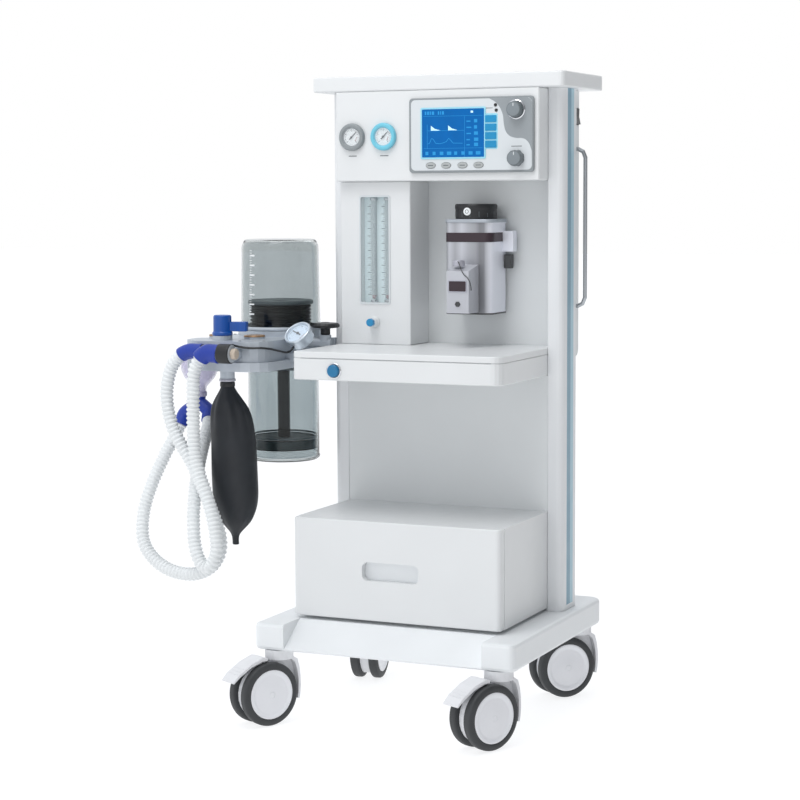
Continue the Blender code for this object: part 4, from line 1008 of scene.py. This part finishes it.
def build_screen():
    """Blue display with a sunk frame, two traces and rows of plain blocks."""
    paint("screen", "display_screen")
    board = facing(0, BEZEL_FRONT - 1.5, 0)
    light = bmesh.new()
    white = bmesh.new()

    def bar(target, x0, x1, z0, z1, lift=0.06):
        add_box(target, x0, x1, z0, z1, 0.01, lift, board)

    def trace(points, width):
        for (xa, za), (xb, zb) in zip(points, points[1:]):
            run = Vector((xb - xa, zb - za))
            side = Vector((-run.y, run.x)).normalized() * width / 2
            corners = [(xa + side.x, za + side.y), (xb + side.x, zb + side.y),
                       (xb - side.x, zb - side.y), (xa - side.x, za - side.y)]
            add_prism(light, corners, 0.01, TRACE_LIFT, board)

    for start in (-6, 31):
        peak = [(start, 1156), (start + 20, 1156), (start + 8, 1159.5), (start, 1165.5)]
        add_prism(white, peak, 0.01, 0.1, board)
    trace([(-13, 1155.6), (66, 1155.6)], 0.7)
    trace([(-13, 1130), (-9, 1131), (-5, 1140.5), (-1, 1139), (4, 1131), (13, 1130), (20, 1131.5),
           (27, 1134), (32, 1140.5), (37, 1136), (41, 1131), (62, 1130.4)], 1.0)
    trace([(-14, 1168), (-14, 1120)], 0.7)
    for ends in ([(66, 1184), (66, 1104)], [(-22, 1184), (104, 1184)], [(-22, 1121), (104, 1121)]):
        trace(ends, 0.6)
    for x, width in ((-19, 3), (-14, 4), (-8.5, 2.5), (-4, 5), (9, 3), (14, 2), (18, 4)):
        bar(light, x, x + width, 1187, 1193.5)
    bar(white, 79, 84, 1189.5, 1193.5)
    random.seed(7)
    for row in (1172, 1160, 1148, 1136, 1126):
        bar(light, 70, 70 + random.uniform(7, 12), row, row + 2.2, 0.04)
        bar(light, 86, 86 + random.uniform(6, 12), row - 1.5, row + 5, 0.04)
    for column in range(8):
        x = -18 + column * 15.4
        bar(light, x, x + random.uniform(6, 10), 1108, 1114.5, 0.04)
    piece("screen_lines", light, "screen_light")
    piece("screen_peaks", white, "screen_white")
    edge = rectangle(-28.5, 110.5, 1100, 1201, 3.5)
    inside = rectangle(-25.3, 107.3, 1103.2, 1197.8, 2)
    rim = ring_prism(edge, inside, 0.55, 1.9, facing(0, BEZEL_FRONT, 0))
    piece("screen_rim", rim, "key_rim", bevel=0.3)


def ring_prism(outer, inner, low, high, board=Matrix()):
    """A flat ring between two outlines with the same number of points."""
    bm = bmesh.new()
    loops = []
    for outline, level in ((outer, low), (outer, high), (inner, high), (inner, low)):
        loops.append([bm.verts.new(board @ Vector((x, y, level))) for x, y in outline])
    count = len(outer)
    for k in range(4):
        a, b = loops[k], loops[(k + 1) % 4]
        for i in range(count):
            j = (i + 1) % count
            bm.faces.new((a[i], a[j], b[j], b[i]))
    return bm


def build_console():
    build_bezel()
    build_screen()
    for number, x in enumerate(BUTTON_XS, 1):
        button = f"function_button_{number}"
        paint("button_grey", button)
        dash = add_box(bmesh.new(), -5.5, 5.5, -0.8, 0.8, 0.02, 0.12, facing(x, BEZEL_FRONT - 2.0, BUTTON_Z))
        piece(f"button_dash_{number}", dash, "print_grey", button)

    knobs = {"mode_knob": (174, 1194, 0.05, 30), "adjust_knob": (175, 1100, 0.075, 8)}
    for name, (x, z, depth, flutes) in knobs.items():
        place = spin_axis((x, KNOB_SEAT, z), (0, -1, 0))
        profile = [(0, 0), (16.5, 0), (16.5, 1.6), (15.8, 2.6), (15.4, 14), (14, 16.2), (0, 16.4)]
        turned(f"{name}_grip", rounded(profile, 1.0), "knob_grey", place, name, sides=96,
               radius_at=fluted(flutes, depth, 15), replaces=[name], slot="knob_grey")
        face = [(0, 16.3), (12.6, 16.3), (12.9, 16.7), (0, 16.9)]
        turned(f"{name}_face", rounded(face, 0.2), "cap_grey", place, name)
        line = add_box(bmesh.new(), -0.6, 0.6, 6, 12, 16.9, 17.1, facing(x, KNOB_SEAT, z))
        piece(f"{name}_line", line, "dial_white", name)
    ring = [(17.0, 0.7), (19.4, 0.7), (19.2, 2.2), (17.4, 3.4), (17.0, 3.4)]
    turned("mode_knob_ring", rounded(ring, 0.5), "chrome", spin_axis((174, BEZEL_FRONT, 1194), (0, -1, 0)),
           closed=True, sides=80)

    for name, (x, look, slot) in PANEL_GAUGES.items():
        place = spin_axis((x, CONSOLE_FRONT - 0.3, PANEL_GAUGE_Z), (0, -1, 0))
        case = [(0, 0), (27.5, 0), (27.5, 6.6), (25.6, 9), (20.4, 9), (18.8, 7.4), (17.8, 3.6), (0, 3.6)]
        turned(f"{name}_case", rounded(case, 1.3), look, place, sides=80, replaces=[f"{name}_gauge"],
               slot=slot)
        build_dial(name, facing(x, CONSOLE_FRONT - 4.0, PANEL_GAUGE_Z), 17.4, 20)
        turned(f"{name}_lens", rounded([(0, 7.1), (18.6, 7.1), (18.6, 7.7), (0, 8.0)], 0.3), "glass", place)
        hub = [(0, 5.9), (2.2, 5.9), (2.0, 6.8), (0, 6.9)]
        turned(f"{name}_hub", rounded(hub, 0.3), "ink", place, f"{name}_needle", sides=24)
        paint("ink", f"{name}_needle")
        label = add_box(bmesh.new(), x - 9, x + 9, 1107.4, 1109.0, 0.05, 0.2, facing(0, CONSOLE_FRONT, 0))
        piece(f"{name}_print", label, "print_grey")
    place = spin_axis(AIRWAY_FACE, AIRWAY_NORMAL)
    hub = [(0, -1.2), (3.2, -1.2), (2.8, -0.3), (0, -0.2)]
    turned("airway_hub", rounded(hub, 0.3), "ink", place, "airway_needle", sides=28)
    paint("ink", "airway_needle")


build_console()


# ---- flowmeter -----------------------------------------------------------------------
FLOW_TUBES, FLOW_TUBE_Y = {"oxygen": -147.7, "nitrous": -117.0}, -23.0
FLOAT_BOTTOM = 819.5
FLOW_MARKS, FLOW_MARK_LOW, FLOW_MARK_STEP = 50, 829.0, 3.7
FLOW_KNOB = (-143.0, 773.0)


def build_flowmeter():
    """Two float tubes behind a clear cover, with scales beside them, and the flow knob below."""
    board = facing(0, FLOW_FRONT, 0)
    slab("flow_back_plate", rectangle(-173.2, -109.8, 811.9, 1026.6, 3.6), -19.6, -19.0, board, "flow_back",
         replaces=["flow_tube_block"], slot="clear_plastic")
    slab("flow_cover", rectangle(-173.0, -110.0, 812.1, 1026.4, 3.4), -3.4, -1.9, board, "acrylic", bevel=0.4)
    edge, opening = rectangle(-176, -107, 809, 1029.4, 5.5), rectangle(-172.4, -110.6, 812.7, 1025.8, 3)
    piece("flow_window_frame", ring_prism(edge, opening, 0.05, 1.6, board), "overlay", bevel=0.4)
    marks = bmesh.new()
    for name, x in FLOW_TUBES.items():
        place = Matrix.Translation((x, FLOW_TUBE_Y, 0))
        tube = [(5.4, 817), (6.2, 817), (6.2, 1024), (5.4, 1024)]
        turned(f"{name}_flow_tube", tube, "glass", place, closed=True, sides=40)
        for tag, bore, low, high in (("low", 0, 813, 817.6), ("high", 5.3, 1019, 1024.6)):
            cap = [(bore, low), (7.6, low), (7.6, high), (bore, high)]
            turned(f"{name}_tube_cap_{tag}", rounded(cap, 0.6), "brushed", place, sides=40, closed=bore > 0)
        profile = [(0, 0), (2.2, 0.2), (4.3, 3.4), (4.3, 4.6), (3.6, 5.2), (3.6, 6.2), (4.4, 6.8),
                   (4.4, 8), (0, 8)]
        place = Matrix.Translation((x, FLOW_TUBE_Y, FLOAT_BOTTOM))
        turned(f"{name}_bobbin", rounded(profile, 0.4), "red", place, f"{name}_float", sides=32,
               replaces=[f"{name}_float"], slot="float_red")
        for index in range(FLOW_MARKS):
            level = FLOW_MARK_LOW + index * FLOW_MARK_STEP
            reach, half = (7.5, 0.65) if index % 4 == 0 else (3.6, 0.35)
            add_box(marks, x - 2.5 - reach, x - 2.5, level - half, level + half, -1.85, -1.75, board)
    piece("flow_scales", marks, "print_grey")

    place = spin_axis((FLOW_KNOB[0], FLOW_FRONT - 0.3, FLOW_KNOB[1]), (0, -1, 0))
    base = [(0, 0), (12, 0), (12, 2.4), (9.8, 3.6), (9.6, 14.6), (8.6, 15.6), (0, 15.8)]
    turned("flow_knob_grip", rounded(base, 0.7), "enamel", place, "flow_knob", sides=96,
           radius_at=fluted(18, 0.06, 14.8), replaces=["flow_control_knob"], slot="cyan_plastic")
    tip = [(0, 15.7), (8.1, 15.7), (8.1, 23.6), (7.2, 24.8), (0, 24.9)]
    turned("flow_knob_tip", rounded(tip, 0.6), "cyan_knob", place, "flow_knob", sides=96,
           radius_at=fluted(6, 0.12, 24), slot="cyan_plastic")


build_flowmeter()


# ---- vaporizer -----------------------------------------------------------------------
BAND_BOTTOM, BAND_TOP = 936.0, 954.4
BODY_TOP, BODY_BOTTOM = 974.2, 792.1
FILLER_FRONT = -85.0
VAPORIZER_DIAL = (63.0, 9.0, 981.3)
FILLER_CAP_AXIS = (55.0, -63.0)
CHAIN_RADIUS, CHAIN_PITCH = 0.85, 2.4


def band_outline(grow):
    """The vaporizer body's plan, moved out by grow."""
    x0, x1, y0, y1 = 10.0 - grow, 111.0 + grow, -31.0 - grow, 50.0 + grow
    return rounded_outline([(x0, y0, 16 + grow), (x1, y0, 16 + grow), (x1, y1, 3), (x0, y1, 3)])


def build_vaporizer():
    """Trim, lid and filler block of the vaporizer, its dial, and the cap on its short wire."""
    # the vaporizer body gets the satin look with painted reflection bands
    paint("satin_painted_reflections", "vaporizer_body")
    band = ring_prism(band_outline(0.9), band_outline(0.05), BAND_BOTTOM, BAND_TOP)
    piece("vaporizer_band", band, "maroon", bevel=0.3)
    lid = ring_prism(band_outline(2.2), band_outline(-6), BODY_TOP, BODY_TOP + 7)
    piece("vaporizer_lid", lid, "lid_grey", bevel=1.4)
    foot = ring_prism(band_outline(0.7), band_outline(0.02), BODY_BOTTOM, BODY_BOTTOM + 2.9)
    piece("vaporizer_foot_trim", foot, "dark_square")

    filler = facing(0, FILLER_FRONT, 0)
    edge, opening = rectangle(41.4, 81.6, 838, 862.4, 2.6), rectangle(43.6, 79.4, 840.2, 860.2, 1.6)
    piece("filler_window_frame", ring_prism(edge, opening, 0.05, 1.4, filler), "satin", bevel=0.4)
    slab("filler_window", rectangle(43.2, 79.8, 839.8, 860.6, 1.6), 0.05, 0.8, filler, "maroon")
    screw = [(0.001, 0), (5.8, 0), (5.8, 1.6), (4.6, 2.4), (4.0, 1.4), (0, 1.4)]
    place = filler @ Matrix.Translation((61.8, 815, 0))
    turned("filler_drain_screw", rounded(screw, 0.5), "dark_square", place, sides=6)

    place = Matrix.Translation(VAPORIZER_DIAL)
    profile = [(0, 0), (41, 0), (41.6, 1), (41.6, 19), (42.5, 21), (42.5, 27), (40.6, 30), (34, 30), (33, 29),
               (0, 29)]
    turned("dial_body", rounded(profile, 1.0), "black", place, "vaporizer_dial", sides=180,
           radius_at=fluted(60, 0.012, 28.5, 21, 1), replaces=["vaporizer_dial"], slot="black_plastic")
    marks = bmesh.new()
    for index in range(12):
        turn = place @ Matrix.Rotation(math.radians(200 + index * 25), 4, "Z")
        add_box(marks, 41.3, 41.9, -0.4, 0.4, 4, 12 if index % 2 else 15, turn)
    piece("dial_marks", marks, "print_grey", "vaporizer_dial")
    button = spin_axis((60.8, VAPORIZER_DIAL[1] - 40.8, 996.4), (0, -1, 0))
    profile = [(0, 0), (7.4, 0), (8.0, 1), (7.6, 2.4), (6, 3), (0, 3)]
    turned("dial_lock_button", rounded(profile, 0.6), "dial_white", button, "vaporizer_dial", sides=48)
    profile = [(3.0, 3.0), (4.0, 3.0), (4.0, 3.2), (3.0, 3.2)]
    turned("dial_lock_mark", rounded(profile, 0.05), "print_grey", button, "vaporizer_dial", closed=True,
           sides=32)

    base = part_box("filler_cap")[0].z / MM
    place = Matrix.Translation((*FILLER_CAP_AXIS, base))
    cap = [(0, 0), (12, 0), (12, 9), (10.4, 11.4), (6, 12), (0, 12)]
    turned("filler_cap_knurl", rounded(cap, 1.0), "satin", place, "filler_cap", sides=144,
           replaces=["filler_cap"], radius_at=fluted(36, 0.03, 9.5, 1, 1), slot="cast_aluminium")
    route = [(58, -74, base + 9.5), (63, -79, base + 4), (69, -84, base - 7), (76, -86.4, base - 16),
             (83, -87, base - 22), (86.6, -84, base - 29), (87, -78, base - 39), (86.8, -76, base - 47)]
    points = smooth_path(route, 0.8)
    bm = add_sweep(bmesh.new(), points,
                   lambda d: CHAIN_RADIUS + 0.35 * math.cos(2 * math.pi * d / CHAIN_PITCH), 10)
    wire = piece("filler_cap_chain", bm, "dark_square", sharp=75)
    paint("dark_square", "vaporizer_lock")


build_vaporizer()


# ---- castors -------------------------------------------------------------------------
PEDAL_RIBS, PEDAL_SLOPE = 3, math.radians(31)


def build_wheels(name):
    """Twin tyres with rounded shoulders, and a dished cover on each outer side."""
    axle = castor_frame(name) @ Matrix.Translation((TRAIL, 0, AXLE_HEIGHT))
    centre = axle @ Matrix.Rotation(math.radians(-90), 4, "X")
    tyres = bmesh.new()
    covers = bmesh.new()
    for side in (-1, 1):
        def at(values):
            return [(r, side * w) for r, w in values]
        rubber = at([(46, 10.4), (58, 10.4), (61.4, 12.2), (WHEEL_R, 15), (WHEEL_R, 25), (61.0, 28.2),
                     (56, 30.2), (50, 30.4), (47, 28)])
        add_turned(tyres, rounded(rubber, 1.6), 108, centre, closed=True)
        disc = at([(6.2, 11.2), (46.4, 11.2), (47.6, 27.6), (48.8, 29.4), (47, 30.6), (43, 30.4), (38, 28.6),
                   (20, 29.8), (8, 30.9), (6.2, 31)])
        add_turned(covers, rounded(disc, 1.8), 96, centre, closed=True)
        nut = at([(0, 27), (6.3, 27), (6.3, 30.6), (4.6, 31.2), (0, 31.2)])
        add_turned(covers, rounded(nut, 0.6), 32, centre)
    body = name + "_rollers"
    piece(name + "_tyres", tyres, "tyre", body, replaces=[name + "_wheels"], slot="tyre_rubber")
    piece(name + "_covers", covers, "hub", body, slot="grey_plastic")


def build_pedal(name):
    """Grip ribs across the brake pedal's sloping toe."""
    paint("castor", name + "_brake_pedal")
    ribs = bmesh.new()
    for k in range(PEDAL_RIBS):
        place = Matrix.Translation((TRAIL + 70 - 7 * k, 0, 109 + 4.2 * k))
        board = castor_frame(name) @ place @ Matrix.Rotation(PEDAL_SLOPE, 4, "Y")
        add_box(ribs, -0.9, 0.9, -16, 16, -0.6, 0.7, board)
    piece(name + "_pedal_ribs", ribs, "castor", name + "_brake", bevel=0.3)


for castor in CASTORS:
    build_wheels(castor)
    paint("castor", castor + "_fork")
    if castor.startswith("front"):
        build_pedal(castor)


# ---- housings ------------------------------------------------------------------------
FLUSH_BUTTON = (-128.0, 691.0)
HANDLE_ENDS = {"upper": 1119.0, "lower": 806.0}
REAR_COVER_BACK, COLUMN_BACK = 124.0, 72.0
VENT_ROWS, VENT_PITCH, VENT_LOW = 14, 9.0, 1010.0
SEAM_LEVEL, SEAM_HALF = 714.15, 0.25


def build_housings():
    """The painted housings, and the small parts on the shelf, the handle, the drawer and the back."""
    paint("tray", "base_tray")
    paint("enamel_striped", "left_side_panel", "right_side_panel")
    paint("wall", "column_core", "rear_housing")
    paint("enamel", "top_plate", "worktop", "shelf_body", "drawer_cabinet", "drawer", "console_housing",
          "flowmeter_housing")
    paint("brushed", "push_handle")
    paint("black", "power_switch")

    flush = spin_axis((FLUSH_BUTTON[0], SHELF_FRONT, FLUSH_BUTTON[1]), (0, -1, 0))
    profile = [(0, -7.8), (12.4, -7.8), (12.4, 5.6), (11.2, 7.6), (8, 8), (7, 7.4), (0, 7.4)]
    turned("flush_button_cap", rounded(profile, 1.1), "flush_blue", flush, "flush_button", sides=64,
           replaces=["oxygen_flush_button"], slot="cyan_plastic")
    collar = [(13.4, 0.05), (16.2, 0.05), (15.8, 1.6), (14.2, 2.4), (13.4, 2.2)]
    turned("flush_collar", rounded(collar, 0.5), "chrome", flush, closed=True, sides=64)

    for name, z in HANDLE_ENDS.items():
        profile = [(4.5, 0), (9, 0), (8.4, 2.4), (5.2, 3.4), (4.5, 3.2)]
        turned(f"handle_rose_{name}", rounded(profile, 0.7), "brushed", spin_axis((240, 90, z), (1, 0, 0)),
               closed=True, sides=40)

    # near-black slabs sit on the back where the vent slots are, painted shade for the openings; no slot is
    # cut
    vents = bmesh.new()
    back = upright((0, REAR_COVER_BACK, 0), (0, 1, 0))
    for row in range(VENT_ROWS):
        low = VENT_LOW + row * VENT_PITCH
        for left in (-160, 50):
            add_prism(vents, rectangle(left, left + 110, low, low + 3.4, 1.6), 0.02, 0.25, back)
    piece("rear_vents", vents, "opening_shade")
    slab("power_inlet", rectangle(-178, -128, 735, 765, 4), 0.05, 2.2, back, "black", bevel=0.6)
    # the socket face is a near-black plate, painted shade for the socket's recess
    slab("power_inlet_face", rectangle(-168, -138, 740, 760, 5), 2.2, 2.5, back, "opening_shade")
    fittings = bmesh.new()
    fitting = [(0.001, 0), (11, 0), (11, 3), (7, 4), (7, 13), (5, 14), (5, 6), (0, 6)]
    for x in (60, 100, 140):
        add_turned(fittings, rounded(fitting, 0.8), 40, back @ Matrix.Translation((x, 750, 0)))
    piece("gas_inlets", fittings, "brass")
    screws = bmesh.new()
    for x in (-224, 0, 224):
        for z in (722, 960, 1220):
            screw_head(screws, back @ Matrix.Translation((x, z, 0)), 3.4)
    lower = upright((0, COLUMN_BACK, 0), (0, 1, 0))
    for x in (-205, 205):
        for z in (220, 440, 660):
            screw_head(screws, lower @ Matrix.Translation((x, z, 0)), 3.4)
    piece("rear_screws", screws, "brushed")

    front = facing(0, SHELF_FRONT, 0)
    seam = rectangle(-200, 200, SEAM_LEVEL - SEAM_HALF, SEAM_LEVEL + SEAM_HALF)
    slab("shelf_seam", seam, -0.1, 0.05, front, "print_grey")
    liner = rectangle(-70.6, 48.6, 283.4, 319.6, 11.6)
    slab("grip_slot_liner", liner, -15.95, -15.6, front, "tray", "drawer")


build_housings()


# ---- studio --------------------------------------------------------------------------
FLOOR_HALF, FLOOR_DROP = 30.0, 0.0005  # metres
FLOOR_GLOW = 0.82
SKY, SKY_RIGHT = 0.95, 0.0  # the sky is dark toward the right-hand side
KEY_POWER, TOP_POWER, FILL_POWER, BACK_POWER = 10, 30, 2, 10


def add_light(name, place, target, size, power):
    data = bpy.data.lights.new(name, "AREA")
    data.shape = "DISK"
    data.size = size
    data.energy = power
    light = bpy.data.objects.new(name, data)
    place = Vector(place)
    light.location = place
    light.rotation_euler = (Vector(target) - place).to_track_quat("-Z", "Y").to_euler()
    bpy.context.scene.collection.objects.link(light)


def build_floor():
    half = FLOOR_HALF
    mesh = bpy.data.meshes.new("studio_floor")
    corners = [(-half, -half, 0), (half, -half, 0), (half, half, 0), (-half, half, 0)]
    mesh.from_pydata(corners, [], [(0, 1, 2, 3)])
    floor = bpy.data.objects.new("studio_floor", mesh)
    floor.location.z = -FLOOR_DROP
    maker = Maker("studio_floor")
    maker.join(maker.blend(maker.noise(2.0), linear(132, 133, 134), linear(136, 137, 138)),
               maker.shader.inputs["Base Color"])
    maker.shader.inputs["Roughness"].default_value = 0.8
    maker.shader.inputs["Emission Color"].default_value = (0.985, 0.99, 1.0, 1)
    maker.shader.inputs["Emission Strength"].default_value = FLOOR_GLOW
    mesh.materials.append(maker.material)
    bpy.context.scene.collection.objects.link(floor)


def build_sky():
    """Soft grey light from all round, over a background that is seen as plain white."""
    world = bpy.data.worlds.new("studio")
    bpy.context.scene.world = world
    world.use_nodes = True
    tree = world.node_tree
    background = tree.nodes["Background"]
    background.inputs["Color"].default_value = (0.95, 0.97, 1.0, 1)
    direction = tree.nodes.new("ShaderNodeSeparateXYZ")
    tree.links.new(tree.nodes.new("ShaderNodeTexCoord").outputs["Generated"], direction.inputs[0])
    dim = tree.nodes.new("ShaderNodeMapRange")
    dim.inputs["To Min"].default_value = SKY
    dim.inputs["To Max"].default_value = SKY_RIGHT
    tree.links.new(direction.outputs["X"], dim.inputs["Value"])
    tree.links.new(dim.outputs["Result"], background.inputs["Strength"])
    seen = tree.nodes.new("ShaderNodeBackground")
    seen.inputs["Color"].default_value = (1, 1, 1, 1)
    choose = tree.nodes.new("ShaderNodeMixShader")
    rays = tree.nodes.new("ShaderNodeLightPath")
    either = tree.nodes.new("ShaderNodeMath")
    either.operation = "MAXIMUM"
    tree.links.new(rays.outputs["Is Camera Ray"], either.inputs[0])
    tree.links.new(rays.outputs["Is Transmission Ray"], either.inputs[1])
    tree.links.new(either.outputs[0], choose.inputs[0])
    tree.links.new(background.outputs[0], choose.inputs[1])
    tree.links.new(seen.outputs[0], choose.inputs[2])
    tree.links.new(choose.outputs[0], tree.nodes["World Output"].inputs["Surface"])


def build_studio():
    build_floor()
    build_sky()
    add_light("key", (-0.6, -3.0, 3.6), (0, -0.1, 0.6), 2.4, KEY_POWER)
    add_light("top", (0.0, -1.15, 3.3), (0, -0.2, 0.4), 1.6, TOP_POWER)
    add_light("fill", (0.2, -3.6, 0.9), (0, 0, 0.5), 2.6, FILL_POWER)
    add_light("back", (0.6, 3.2, 2.6), (0, 0, 0.8), 2.4, BACK_POWER)
    bpy.context.scene.view_settings.view_transform = "Standard"


build_studio()
